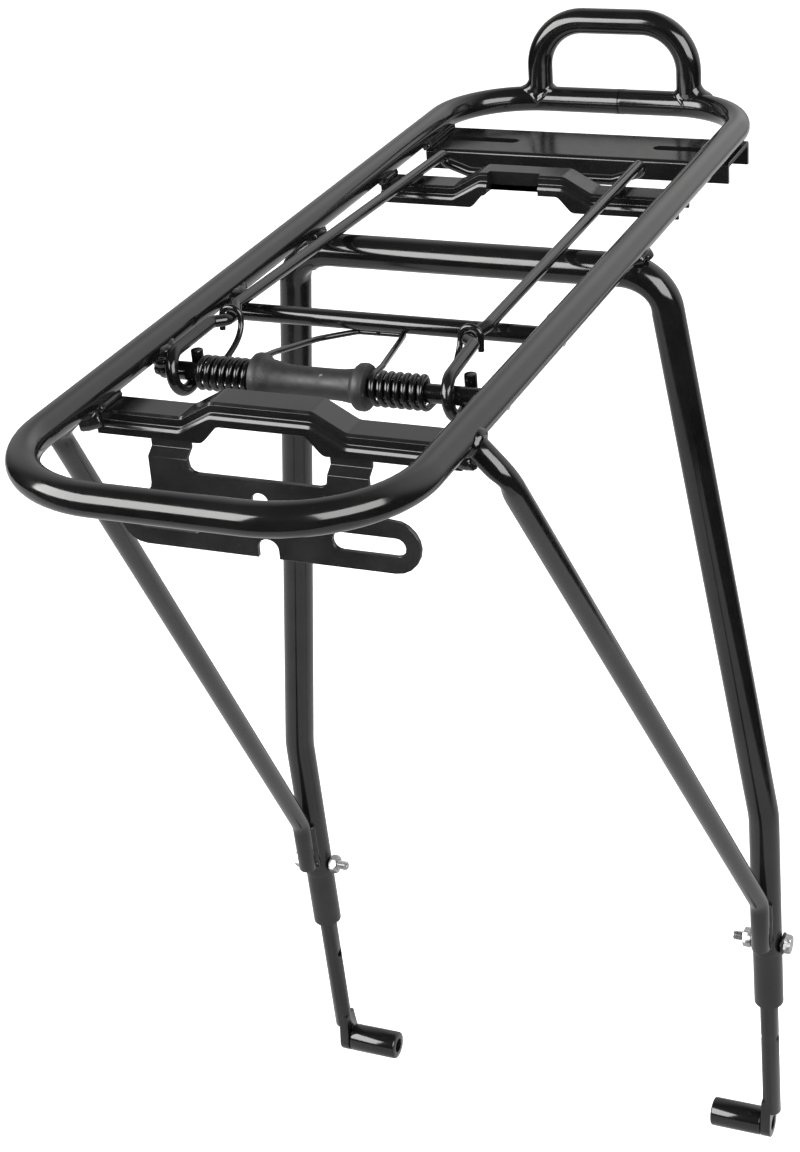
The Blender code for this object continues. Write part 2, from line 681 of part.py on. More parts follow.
def y_at_slot(z, across):
    """Place a slot's width about the leaning leg's centre line."""
    return -LEG_LEAN * z + across


def make_bush(side, name):
    length = FOOT_X - ROD_R + 0.1 * MM - GAP - BUSH_INNER_X
    start = side * BUSH_INNER_X if side > 0 else -BUSH_INNER_X - length
    bevel = 0.5 * MM
    profile = [(0, BUSH_BORE_R), (0, BUSH_R - bevel), (bevel, BUSH_R), (length - bevel, BUSH_R),
               (length, BUSH_R - bevel), (length, BUSH_BORE_R)]
    add_object(name, turned(profile, start, (0, 0), 20), roughness=0.2,
               origin=leg_point(side * FOOT_X, LEG_END_Z))


def add_hexagon(bm, start, end, y, z, across_flats, bore=0.0):
    """A hexagon along X, with an optional round bore."""
    corner_r = across_flats / math.sqrt(3)
    outer, inner = [], []
    for x in (start, end):
        ring = [Vector((x, y + corner_r * math.cos(math.pi * k / 3), z + corner_r * math.sin(math.pi * k / 3)))
                for k in range(6)]
        outer.append([bm.verts.new(p) for p in ring])
        if bore:
            round_ring = [Vector((x, y + bore * math.cos(math.pi * k / 6), z + bore * math.sin(math.pi * k / 6)))
                          for k in range(12)]
            inner.append([bm.verts.new(p) for p in round_ring])
    skin(bm, outer, False)
    if not bore:
        bm.faces.new(outer[0][::-1])
        bm.faces.new(outer[1])
        return
    skin(bm, inner, False, flip=True)
    for hexagon, ring in zip(outer, inner):
        for k in range(6):
            bm.faces.new([hexagon[k], ring[2 * k], ring[2 * k + 1]])
            bm.faces.new([hexagon[k], ring[2 * k + 1], hexagon[(k + 1) % 6]])
            bm.faces.new([hexagon[(k + 1) % 6], ring[2 * k + 1], ring[(2 * k + 2) % 12]])


def make_fasteners(side, word):
    y = -LEG_LEAN * BOLT_Z
    outer = FOOT_X + LEG_R + GAP
    washer_end = outer + WASHER_T
    head = washer_end + GAP
    bolt = add_object("leg_bolt_" + word,
                      rod((side * BOLT_END_X, y, BOLT_Z), (side * (head + 0.5 * MM), y, BOLT_Z), BOLT_R),
                      (0.6, 0.6, 0.62, 1.0), 0.3, 1.0)
    hexagon = bmesh.new()
    add_hexagon(hexagon, side * head, side * (head + BOLT_HEAD_H), y, BOLT_Z, BOLT_HEAD_AF)
    join(bolt, hexagon, "leg_bolt_head_" + word)
    profile = [(0, BOLT_HOLE_R), (0, WASHER_R), (WASHER_T, WASHER_R), (WASHER_T, BOLT_HOLE_R)]
    start = outer if side > 0 else -washer_end
    add_object("leg_washer_" + word, turned(profile, start, (y, BOLT_Z), 16), (0.03, 0.03, 0.03, 1.0), 0.4, 0.5)
    nut = bmesh.new()
    nut_outer = FOOT_X - LEG_R - GAP
    add_hexagon(nut, side * (nut_outer - NUT_T), side * nut_outer, y, BOLT_Z, BOLT_HEAD_AF, BOLT_HOLE_R)
    add_object("leg_nut_" + word, nut, (0.6, 0.6, 0.62, 1.0), 0.3, 1.0)


def main():
    clear_scene()
    make_deck_loop()
    make_front_hoop()
    make_leg_tube()
    make_member("rear_cross_member", REAR_MEMBER, REAR_MEMBER_ENDS)
    make_front_member()
    make_front_channel()
    make_lamp_plate()
    make_bars()
    make_sleeve()
    make_bail()
    make_spring()
    for side, word in ((-1, "left"), (1, "right")):
        make_stay(side, "stay_" + word)
        make_extension(side, "leg_extension_" + word)
        make_bush(side, "foot_bush_" + word)
        make_fasteners(side, word)


main()
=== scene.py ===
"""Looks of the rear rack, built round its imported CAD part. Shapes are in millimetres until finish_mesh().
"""

import json
import math

import bmesh
import bpy
from mathutils import Matrix, Vector, noise

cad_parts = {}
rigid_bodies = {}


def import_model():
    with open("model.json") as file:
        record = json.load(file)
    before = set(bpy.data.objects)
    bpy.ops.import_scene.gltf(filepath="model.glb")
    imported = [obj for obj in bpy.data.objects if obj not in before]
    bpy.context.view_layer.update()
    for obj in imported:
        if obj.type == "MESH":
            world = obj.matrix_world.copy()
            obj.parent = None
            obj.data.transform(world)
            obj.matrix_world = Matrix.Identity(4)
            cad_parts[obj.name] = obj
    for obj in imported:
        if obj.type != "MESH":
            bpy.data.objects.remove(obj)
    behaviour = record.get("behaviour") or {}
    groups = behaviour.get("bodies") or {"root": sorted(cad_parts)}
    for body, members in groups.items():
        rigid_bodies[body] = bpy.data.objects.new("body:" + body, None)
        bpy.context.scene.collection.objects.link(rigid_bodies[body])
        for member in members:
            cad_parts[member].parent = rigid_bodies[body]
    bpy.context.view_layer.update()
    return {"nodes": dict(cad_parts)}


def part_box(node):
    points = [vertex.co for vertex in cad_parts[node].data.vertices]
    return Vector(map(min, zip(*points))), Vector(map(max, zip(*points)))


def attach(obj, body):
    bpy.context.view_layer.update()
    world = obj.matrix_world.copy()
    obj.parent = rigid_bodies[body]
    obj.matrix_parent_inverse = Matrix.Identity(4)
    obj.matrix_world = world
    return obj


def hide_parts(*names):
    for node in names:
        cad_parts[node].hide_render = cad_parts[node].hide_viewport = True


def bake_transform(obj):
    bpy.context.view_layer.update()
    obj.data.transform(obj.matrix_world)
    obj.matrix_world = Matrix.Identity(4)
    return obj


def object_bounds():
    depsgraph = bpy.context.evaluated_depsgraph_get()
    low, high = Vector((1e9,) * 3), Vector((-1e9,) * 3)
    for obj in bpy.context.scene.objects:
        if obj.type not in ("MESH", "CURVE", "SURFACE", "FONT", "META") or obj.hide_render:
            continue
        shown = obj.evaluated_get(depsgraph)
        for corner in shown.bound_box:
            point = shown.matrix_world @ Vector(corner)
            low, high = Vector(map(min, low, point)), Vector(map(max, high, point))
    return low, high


MM = 0.001
HANDS = ((-1, "left"), (1, "right"))
SIDES = 32                  # flats round a tube
LEAN = 0.0925               # forward travel of a leg per unit of height
SUPPORT = 0.04              # distance of the support points beside a rounded corner

for old in list(bpy.data.objects):
    bpy.data.objects.remove(old, do_unlink=True)
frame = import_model()


def cad(node):
    """A CAD node's lowest and highest corners, in millimetres."""
    low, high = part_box(node)
    return low / MM, high / MM


# ---------------------------------------------------------------- sizes, as in the CAD part or refining it

DECK_LOW, DECK_HIGH = cad("deck_loop")
DECK_R = (DECK_HIGH.z - DECK_LOW.z) / 2
DECK_Z = (DECK_HIGH.z + DECK_LOW.z) / 2
RAIL_X = DECK_HIGH.x - DECK_R
REAR_Y = DECK_LOW.y + DECK_R
FRONT_Y = DECK_HIGH.y - DECK_R
REAR_BEND_R = 38.0
FRONT_BEND_R = 34.0
SEAM_X = 4.8                # the deck tube's butt seam, in the front bar
SEAM_STEPS = (2.4, 1.2, 0.35, 0.12)
HOOP_LOW, HOOP_HIGH = cad("front_hoop")
HOOP_X = (HOOP_LOW.x + HOOP_HIGH.x) / 2
HOOP_HALF = (HOOP_HIGH.x - HOOP_LOW.x) / 2 - DECK_R + 0.12
HOOP_TOP = HOOP_HIGH.z - DECK_R + 0.06
HOOP_FOOT = HOOP_LOW.z
HOOP_BEND_R = 19.0
LEG_R = 6.0
LEG_BORE = 4.5
LEG_BAR = (-36.4, DECK_Z - DECK_R - LEG_R - 0.3)
LEG_CORNER_X = 68.5
LEG_CORNER_R = 16.0
FOOT_X = 99.4
LEG_BEND_Z = 166.0
LEG_BEND_R = 45.0
LEG_END_Z = 70.2
STAY_R = 3.8
STAY_Y = -202.1
STAY_BEND = Vector((73.2, STAY_Y, DECK_Z - 13.0))
STAY_BEND_R = 11.0
STAY_FOOT_Z = 129.0
STAY_FOOT_R = 14.0
STAY_END_Z = 105.5
STAY_BEHIND = LEG_R + STAY_R + 0.3
AXLE_LOW, AXLE_HIGH = cad("spring_axle")
AXLE_R = (AXLE_HIGH.y - AXLE_LOW.y) / 2
AXLE_Y = (AXLE_HIGH.y + AXLE_LOW.y) / 2
AXLE_Z = (AXLE_HIGH.z + AXLE_LOW.z) / 2
STOP_LOW, STOP_HIGH = cad("spring_stop_bar")
STOP_Y = (STOP_LOW.y + STOP_HIGH.y) / 2
MEMBER_RISE = 5.9           # height of a cross-member's raised middle above its low ends
MEMBER_H = 7.2
MEMBER_T = 1.5
MEMBER_RAMP = (16.5, 27.0)
SKIRT_OUT = 1.5
SKIRT_RAMP = (14.5, 19.8)   # the skirts' lower edge drops sooner than the top
REAR_MEMBER_X = -4.2
FRONT_MEMBER_X = -2.4
NOTCH_X = (-15.7, 4.3)      # recess in the front cross-member's rear wall
NOTCH_DEPTH = 3.1
CHANNEL_T = 1.8
FLANGE_DROP = 1.3           # how much deeper the channel's front flange is than its rear one
SLOT_X = (27.6, 57.6)
SLOT_R = 2.7
JOGGLE_Z = DECK_Z - 16.6    # middle of the sloping part of the lamp plate's tabs
JOGGLE_REACH = 2.4
JOGGLE_SHARE = 0.6
CLAMP_X = -6.0
BAIL_R = 2.0
EYE_R = 6.4
EYE_STEP = 3.8              # sideways travel of the bail's rod round its eye
LINK_HALF = 46.4
KINK_Y = -130.0
KINK_HALF = 41.6
ARM_REAR_HALF = 44.2
ARM_FRONT_HALF = 39.6
ARM_FRONT_Y = 54.3
CROSS_HALF = 29.0
WIRE_R = 1.0
COIL_R = 4.75
COIL_TURNS = 6.5
HOOK_R = 3.4
BUSH_R = 6.1
BUSH_BORE = 3.2
BOLT_Z = 102.0
BOLT_R = 2.0
HEAD_AF = 7.0
HEAD_H = 2.8
THREAD_PITCH = 0.7
THREAD_TURNS = 12
WASHER_R = 4.5
WELD_SINK = 0.3             # how far the rods inside a weld stay under the tubes' skins
WELD_VOXEL = 0.4


# ---------------------------------------------------------------- meshes

def meshed(bm, name):
    """What bm holds, as a mesh; it frees bm."""
    mesh = bpy.data.meshes.new(name)
    bm.to_mesh(mesh)
    bm.free()
    return mesh


def linked(name, data):
    """A new object in the scene that holds the data."""
    obj = bpy.data.objects.new(name, data)
    bpy.context.scene.collection.objects.link(obj)
    return obj


def finish_mesh(bm, name, body, material, nodes=(), angle=38.0):
    """Show bm, in millimetres, as a piece that rides on a body, if one is named, and replaces nodes."""
    bmesh.ops.recalc_face_normals(bm, faces=bm.faces)
    bm.transform(Matrix.Scale(MM, 4))
    mesh = meshed(bm, name)
    mesh.shade_smooth()
    mesh.set_sharp_from_angle(angle=math.radians(angle))
    mesh.materials.append(material)
    obj = linked(name, mesh)
    if body:
        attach(obj, body)
    if nodes:
        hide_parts(*nodes)
    return obj


def applied(bm, modifiers):
    """The mesh that bm becomes under a list of (kind, settings), scaled as it is."""
    mesh = meshed(bm, "work")
    obj = linked("work", mesh)
    for kind, settings in modifiers:
        modifier = obj.modifiers.new(kind, kind)
        for key, value in settings.items():
            setattr(modifier, key, value)
    bpy.context.view_layer.update()
    graph = bpy.context.evaluated_depsgraph_get()
    result = bpy.data.meshes.new_from_object(obj.evaluated_get(graph))
    made = bmesh.new()
    made.from_mesh(result)
    bpy.data.objects.remove(obj, do_unlink=True)
    bpy.data.meshes.remove(mesh)
    bpy.data.meshes.remove(result)
    return made


def bent_path(corners, radii, closed=False, step=5.0):
    """Points along straight runs between corners, with a round bend of each radius at each corner."""
    points = []
    count = len(corners)
    for i, corner in enumerate(corners):
        here = Vector(corner)
        if radii[i] <= 0 or (not closed and i in (0, count - 1)):
            points.append(here)
            continue
        back = (Vector(corners[i - 1]) - here).normalized()
        ahead = (Vector(corners[(i + 1) % count]) - here).normalized()
        half = back.angle(ahead) / 2
        centre = here + (back + ahead).normalized() * (radii[i] / math.sin(half))
        start = here + back * (radii[i] / math.tan(half)) - centre
        axis = back.cross(ahead).normalized()
        turn = math.pi - 2 * half
        steps = max(2, int(math.degrees(turn) / step))
        points += [centre + Matrix.Rotation(-turn * k / steps, 3, axis) @ start for k in range(steps + 1)]
    return points


def rings(bm, path, radius, sides, closed):
    """Rings of vertices across the path; radius is a number or says the radius at a point."""
    count = len(path)
    size = radius if callable(radius) else (lambda point: radius)
    tangents = []
    for i in range(count):
        if closed:
            step = path[(i + 1) % count] - path[i - 1]
        else:
            step = path[min(i + 1, count - 1)] - path[max(i - 1, 0)]
        tangents.append(step.normalized())
    guess = Vector((0, 0, 1)) if abs(tangents[0].z) < 0.9 else Vector((1, 0, 0))
    side = tangents[0].cross(guess).normalized()
    made = []
    for i, tangent in enumerate(tangents):
        if i:
            side = tangents[i - 1].rotation_difference(tangent) @ side
        side = (side - tangent * side.dot(tangent)).normalized()
        up = tangent.cross(side)
        r = size(path[i])
        turns = [2 * math.pi * k / sides for k in range(sides)]
        made.append([bm.verts.new(path[i] + (side * math.cos(t) + up * math.sin(t)) * r) for t in turns])
    return made


def skin(bm, made, closed, flip=False):
    """Faces between each ring of vertices and the next."""
    pairs = list(zip(made, made[1:])) + ([(made[-1], made[0])] if closed else [])
    for first, second in pairs:
        count = len(first)
        for k in range(count):
            face = [first[k], first[(k + 1) % count], second[(k + 1) % count], second[k]]
            bm.faces.new(face[::-1] if flip else face)


def capped(bm, made):
    """Faces between the rings of vertices, and one over each end."""
    skin(bm, made, False)
    bm.faces.new(made[0][::-1])
    bm.faces.new(made[-1])


def sweep(bm, path, radius, sides=SIDES, closed=False, bore=0.0, cap=0.0):
    """A round rod along path, with rounded ends when cap is given, or an open tube when bore is given."""
    path = [Vector(p) for p in path]
    if cap and not closed:
        first = (path[1] - path[0]).normalized()
        last = (path[-2] - path[-1]).normalized()
        path = [path[0], path[0] + first * 0.3 * cap, path[0] + first * cap] + path[1:-1] \
            + [path[-1] + last * cap, path[-1] + last * 0.3 * cap, path[-1]]
    outer = rings(bm, path, radius, sides, closed)
    if cap and not closed:
        for i, share in ((0, 1.0), (1, 0.3), (-2, 0.3), (-1, 1.0)):
            for vert in outer[i]:
                vert.co += (path[i] - vert.co).normalized() * cap * share
    skin(bm, outer, closed)
    if bore:
        inner = rings(bm, path, bore, sides, closed)
        skin(bm, inner, closed, flip=True)
        skin(bm, [outer[0], inner[0]], False, flip=True)
        skin(bm, [outer[-1], inner[-1]], False)
    elif not closed:
        bm.faces.new(outer[0][::-1])
        bm.faces.new(outer[-1])
    return bm


def swept(*args, **kwargs):
    """A mesh of its own that holds one sweep."""
    return sweep(bmesh.new(), *args, **kwargs)


def turned(bm, profile, start, y, z, sides=40):
    """A closed profile of (distance along X, radius) pairs, turned about a line along X."""
    made = []
    for k in range(sides):
        turn = 2 * math.pi * k / sides
        made.append([bm.verts.new((start + along, y + radius * math.cos(turn), z + radius * math.sin(turn)))
                     for along, radius in profile])
    skin(bm, made, True)
    return bm


def rounded(profile, radius, steps=3):
    """A closed profile of pairs with rounded corners; radius is one number or a list with one for each."""
    out = []
    count = len(profile)
    radii = radius if isinstance(radius, list) else [radius] * count
    for i in range(count):
        here = Vector(profile[i])
        back = Vector(profile[i - 1]) - here
        ahead = Vector(profile[(i + 1) % count]) - here
        reach = min(radii[i], 0.45 * back.length, 0.45 * ahead.length)
        a = here + back.normalized() * reach
        b = here + ahead.normalized() * reach
        out.append(tuple(a + back * SUPPORT))
        for k in range(steps + 1):
            t = k / steps
            out.append(tuple(a * (1 - t) ** 2 + here * 2 * t * (1 - t) + b * t * t))
        out.append(tuple(b + ahead * SUPPORT))
    return out


def refined(node, edge, name, material, body="root", angle=32.0, segments=2, sharp=42.0, reshape=None):
    """A CAD node's own shape with its flat faces made whole and its sharp edges rounded."""
    bm = bmesh.new()
    bm.from_mesh(frame["nodes"][node].data)
    bm.transform(Matrix.Scale(1 / MM, 4))
    if reshape:
        reshape(bm)
    bmesh.ops.remove_doubles(bm, verts=bm.verts, dist=0.002)
    bmesh.ops.dissolve_limit(bm, angle_limit=math.radians(0.6), verts=bm.verts, edges=bm.edges)
    bevel = dict(width=edge, segments=segments, limit_method="ANGLE", angle_limit=math.radians(angle),
                 use_clamp_overlap=True, miter_outer="MITER_ARC")
    made = applied(bm, [("BEVEL", bevel)])
    return finish_mesh(made, name, body, material, [node], angle=sharp)


def leg_point(x, z):
    """The point at height z on the lower leg's centre line."""
    return Vector((x, -LEAN * z, z))


def run_of(path, centre, reach, step=1.0):
    """The stretch of a path that lies within reach of a point, in short steps."""
    centre = Vector(centre)
    fine = []
    for a, b in zip(path, path[1:]):
        count = max(1, int((b - a).length / step))
        fine += [a.lerp(b, k / count) for k in range(count)]
    fine.append(path[-1])
    return [point for point in fine if (point - centre).length <= reach]


def mirrored(points, side):
    """The points for the right side, or mirrored for the left."""
    return [Vector((side * p[0], p[1], p[2])) for p in points]


# ---------------------------------------------------------------- materials

def new_material(name, colour, roughness, metallic=0.0):
    """A material with its node tree and its shader."""
    material = bpy.data.materials.new(name)
    material.use_nodes = True
    tree = material.node_tree
    shader = tree.nodes["Principled BSDF"]
    shader.inputs["Base Color"].default_value = (*colour, 1)
    shader.inputs["Roughness"].default_value = roughness
    shader.inputs["Metallic"].default_value = metallic
    return material, tree, shader


def noise_node(tree, scale, detail=2.0, rough=0.5):
    """Noise in the piece's own coordinates; scale is per metre."""
    where = tree.nodes.get("where") or tree.nodes.new("ShaderNodeTexCoord")
    where.name = "where"
    node = tree.nodes.new("ShaderNodeTexNoise")
    node.inputs["Scale"].default_value = scale
    node.inputs["Detail"].default_value = detail
    node.inputs["Roughness"].default_value = rough
    tree.links.new(where.outputs["Object"], node.inputs["Vector"])
    return node.outputs["Fac"]


def ramp(tree, value, low, high, a, b):
    """Map a value from low..high to a..b."""
    node = tree.nodes.new("ShaderNodeMapRange")
    for key, number in (("From Min", low), ("From Max", high), ("To Min", a), ("To Max", b)):
        node.inputs[key].default_value = number
    tree.links.new(value, node.inputs["Value"])
    return node.outputs["Result"]


def maths(tree, kind, first, second):
    """A Math node's result; second is a number or another node's output."""
    node = tree.nodes.new("ShaderNodeMath")
    node.operation = kind
    tree.links.new(first, node.inputs[0])
    if isinstance(second, (int, float)):
        node.inputs[1].default_value = second
    else:
        tree.links.new(second, node.inputs[1])
    return node.outputs[0]


def mix_colour(tree, value, dark, light):
    """A colour between dark and light by a value from 0 to 1; dark can be another node's output."""
    node = tree.nodes.new("ShaderNodeMix")
    node.data_type = "RGBA"
    if isinstance(dark, tuple):
        node.inputs["A"].default_value = (*dark, 1)
    else:
        tree.links.new(dark, node.inputs["A"])
    node.inputs["B"].default_value = (*light, 1)
    tree.links.new(value, node.inputs["Factor"])
    return node.outputs["Result"]


def bump(tree, shader, layers):
    """Stack bump layers of (height, distance in metres)."""
    normal = None
    for height, distance in layers:
        node = tree.nodes.new("ShaderNodeBump")
        node.inputs["Strength"].default_value = 1.0
        node.inputs["Distance"].default_value = distance
        tree.links.new(height, node.inputs["Height"])
        if normal is not None:
            tree.links.new(normal, node.inputs["Normal"])
        normal = node.outputs["Normal"]
    tree.links.new(normal, shader.inputs["Normal"])


def greys(level):
    """A grey with a trace of blue."""
    return level, level, level + 0.0002


def powder_coat(name, dark, light, rough, peel, grain):
    """Black powder coat: slow tone drift, orange peel, fine grain, and specks of dust in the film."""
    material, tree, shader = new_material(name, dark, rough[0])
    tone = ramp(tree, noise_node(tree, 70, 3), 0.3, 0.7, 0, 1)
    speck = ramp(tree, noise_node(tree, 1300, 1), 0.8, 0.84, 0, 1)
    colour = mix_colour(tree, speck, mix_colour(tree, tone, dark, light), (0.05, 0.05, 0.05))
    tree.links.new(colour, shader.inputs["Base Color"])
    wear = ramp(tree, noise_node(tree, 240, 4, 0.6), 0.35, 0.75, rough[0], rough[1])
    tree.links.new(wear, shader.inputs["Roughness"])
    bump(tree, shader, [(noise_node(tree, 420, 1), peel * MM), (noise_node(tree, 2600, 1), grain * MM)])
    return material


def painted_shade_inside(material, low, high, thick):
    """Painted shade: cut the coat's gloss inside a channel, below its top edge, so that its inner walls stay
    dark and show no reflection.
    """
    tree = material.node_tree
    place = tree.nodes.new("ShaderNodeSeparateXYZ")
    tree.links.new(tree.nodes["where"].outputs["Object"], place.inputs["Vector"])
    middle, reach = (low.y + high.y) / 2 * MM, ((high.y - low.y) / 2 - thick + 0.1) * MM
    off = maths(tree, "ABSOLUTE", maths(tree, "SUBTRACT", place.outputs["Y"], middle), 0)
    between = maths(tree, "LESS_THAN", off, reach)
    below = maths(tree, "LESS_THAN", place.outputs["Z"], (high.z - 0.45) * MM)
    inside = maths(tree, "MULTIPLY", between, below)
    shader = tree.nodes["Principled BSDF"]
    # painted shade: far less gloss inside the channel than on its outside
    tree.links.new(ramp(tree, inside, 0, 1, 0.5, 0.06), shader.inputs["Specular IOR Level"])


def rubber():
    """Moulded rubber: matte, faintly mottled, with bloom specks and a fine grain."""
    material, tree, shader = new_material("moulded_rubber", (0.009, 0.009, 0.0095), 0.55)
    tone = ramp(tree, noise_node(tree, 190, 4, 0.6), 0.3, 0.7, 0, 1)
    colour = mix_colour(tree, tone, (0.006, 0.006, 0.0065), (0.012, 0.012, 0.0125))
    speck = ramp(tree, noise_node(tree, 620, 0), 0.82, 0.85, 0, 1)
    colour = mix_colour(tree, speck, colour, (0.1, 0.1, 0.1))
    tree.links.new(colour, shader.inputs["Base Color"])
    tree.links.new(ramp(tree, noise_node(tree, 300, 3), 0.3, 0.7, 0.45, 0.62), shader.inputs["Roughness"])
    bump(tree, shader, [(noise_node(tree, 500, 2), 0.03 * MM), (noise_node(tree, 3000, 1), 0.006 * MM)])
    return material


def plated(name, dark, light, rough, tint):
    """Plated or blackened steel with fine wear and dull patches."""
    material, tree, shader = new_material(name, dark, rough[0], 1.0)
    tone = ramp(tree, noise_node(tree, 900, 4, 0.6), 0.3, 0.7, 0, 1)
    tree.links.new(mix_colour(tree, tone, dark, light), shader.inputs["Base Color"])
    tree.links.new(ramp(tree, noise_node(tree, 500, 3), 0.3, 0.7, *rough), shader.inputs["Roughness"])
    shader.inputs["Specular Tint"].default_value = (*tint, 1)
    bump(tree, shader, [(noise_node(tree, 1800, 2), 0.008 * MM)])
    return material


GLOSS = powder_coat("gloss_powder_coat", greys(0.0025), greys(0.005), (0.1, 0.17), 0.008, 0.001)
SATIN = powder_coat("satin_powder_coat", greys(0.003), greys(0.006), (0.15, 0.24), 0.006, 0.002)
TEXTURED = powder_coat("textured_powder_coat", greys(0.006), greys(0.012), (0.13, 0.2), 0.008, 0.004)
WELD = powder_coat("powder_coat_over_weld", greys(0.0025), greys(0.006), (0.08, 0.18), 0.025, 0.001)
CHANNEL = powder_coat("channel_powder_coat", greys(0.003), greys(0.006), (0.15, 0.22), 0.004, 0.001)
RUBBER = rubber()
# painted shade inside the front channel: its gloss is cut below the top
painted_shade_inside(CHANNEL, *cad("front_channel"), CHANNEL_T)
ZINC = plated("zinc_plate", (0.34, 0.34, 0.35), (0.56, 0.56, 0.57), (0.22, 0.4), (1, 1, 1))
BLACKENED = plated("blackened_steel", (0.04, 0.04, 0.042), (0.09, 0.09, 0.092), (0.3, 0.5), (1, 1, 1))


# ---------------------------------------------------------------- welded frame

def deck_path():
    """The deck tube's centre line, with close stations at the butt seam in the front bar."""
    seam = [SEAM_X + away for away in SEAM_STEPS] + [SEAM_X - away for away in reversed(SEAM_STEPS)]
    corners = [(-RAIL_X, REAR_Y, DECK_Z), (RAIL_X, REAR_Y, DECK_Z), (RAIL_X, FRONT_Y, DECK_Z)]
    corners += [(x, FRONT_Y, DECK_Z) for x in seam] + [(-RAIL_X, FRONT_Y, DECK_Z)]
    radii = [REAR_BEND_R, REAR_BEND_R, FRONT_BEND_R] + [0] * len(seam) + [FRONT_BEND_R]
    return bent_path(corners, radii, True)


def deck_run(centre, reach):
    """The deck tube's centre line near a point of it."""
    path = deck_path()
    return run_of(path + path[:1], centre, reach)


def make_deck():
    """The bent deck tube, with the fine butt seam in its front bar."""
    def radius(point):
        off = abs(point.x - SEAM_X)
        if point.y < FRONT_Y - 1 or off > 2.0:
            return DECK_R
        return DECK_R - (0.42 if off < 0.2 else -0.1)
    bm = swept(deck_path(), radius, SIDES, closed=True)
    finish_mesh(bm, "deck_tube", "root", GLOSS, ["deck_loop"])


def make_hoop():
    """The hoop that stands on the front bar."""
    left, right = HOOP_X - HOOP_HALF, HOOP_X + HOOP_HALF
    corners = [(left, FRONT_Y, HOOP_FOOT), (left, FRONT_Y, HOOP_TOP), (right, FRONT_Y, HOOP_TOP),
               (right, FRONT_Y, HOOP_FOOT)]
    path = bent_path(corners, [0, HOOP_BEND_R, HOOP_BEND_R, 0])
    finish_mesh(swept(path, DECK_R), "hoop_tube", "root", GLOSS, ["front_hoop"])


def dent(bm, centre, size, push):
    """Push the wall near a point, as a bend that was pinched in the tool."""
    centre, push = Vector(centre), Vector(push)
    for vert in bm.verts:
        away = vert.co - centre
        along = away.dot(push.normalized())
        if along < -7.5:        # the far wall
            continue
        vert.co += push * math.exp(-away.length_squared / (size * size))


def leg_path():
    """The leg tube's centre line, from the left leg's end over the crossbar to the right one's."""
    corners = []
    for side in (-1, 1):
        limb = [leg_point(side * FOOT_X, LEG_END_Z), leg_point(side * FOOT_X, LEG_BEND_Z),
                Vector((side * LEG_CORNER_X, *LEG_BAR))]
        corners += limb if side < 0 else limb[::-1]
    return bent_path(corners, [0, LEG_BEND_R, LEG_CORNER_R, LEG_CORNER_R, LEG_BEND_R, 0])


def make_legs():
    """The leg tube, with the pinched insides of its two top bends."""
    path = leg_path()
    fine = []
    for a, b in zip(path, path[1:]):
        count = max(1, int((b - a).length / 2.5)) if a.z > 340 and b.z > 340 and abs(a.x) > 40 else 1
        fine += [a.lerp(b, k / count) for k in range(count)]
    fine.append(path[-1])
    bm = swept(fine, LEG_R, SIDES, bore=LEG_BORE)
    for side in (-1, 1):
        dent(bm, (side * 61.8, -36.0, 382.0), 4.5, (side * 1.6, 0, 0.8))
        dent(bm, (side * 64.4, -34.8, 372.0), 4.0, (-side * 1.2, 0, 0))
    finish_mesh(bm, "leg_tube_bent", "root", GLOSS, ["leg_tube"])


def stay_path(side):
    """A stay's centre line, from the rail down to the back of the leg."""
    rail = Vector((RAIL_X, STAY_Y, DECK_Z))
    outward = STAY_BEND - rail
    outward.y = 0
    top = rail + outward.normalized() * (DECK_R + 0.3)
    foot = leg_point(FOOT_X, STAY_FOOT_Z) - Vector((0, STAY_BEHIND, 0))
    end = leg_point(FOOT_X, STAY_END_Z) - Vector((0, STAY_BEHIND, 0))
    return bent_path(mirrored((top, STAY_BEND, foot, end), side), [0, STAY_BEND_R, STAY_FOOT_R, 0])


def make_stays():
    """The two stays, each with a pinched bend under the rail."""
    for side, word in HANDS:
        path = stay_path(side)
        fine = run_of(path[:-1], STAY_BEND, 400, 2.0)
        bm = swept(fine + path[-1:], STAY_R, 28, cap=0.5)
        dent(bm, (side * (STAY_BEND.x - 3.4), STAY_Y - 1.5, STAY_BEND.z - 3.6), 3.4, (side * 0.9, 0, 0.8))
        finish_mesh(bm, "stay_rod_" + word, "root", GLOSS, ["stay_" + word])


def make_bars():
    """The clamp's pivot rod and the bar that its spring bears on."""
    for node, y in (("spring_axle", AXLE_Y), ("spring_stop_bar", STOP_Y)):
        low, high = cad(node)
        bm = swept([(low.x, y, AXLE_Z), (high.x, y, AXLE_Z)], AXLE_R, 28, cap=0.4)
        finish_mesh(bm, node + "_rod", "root", GLOSS, [node])


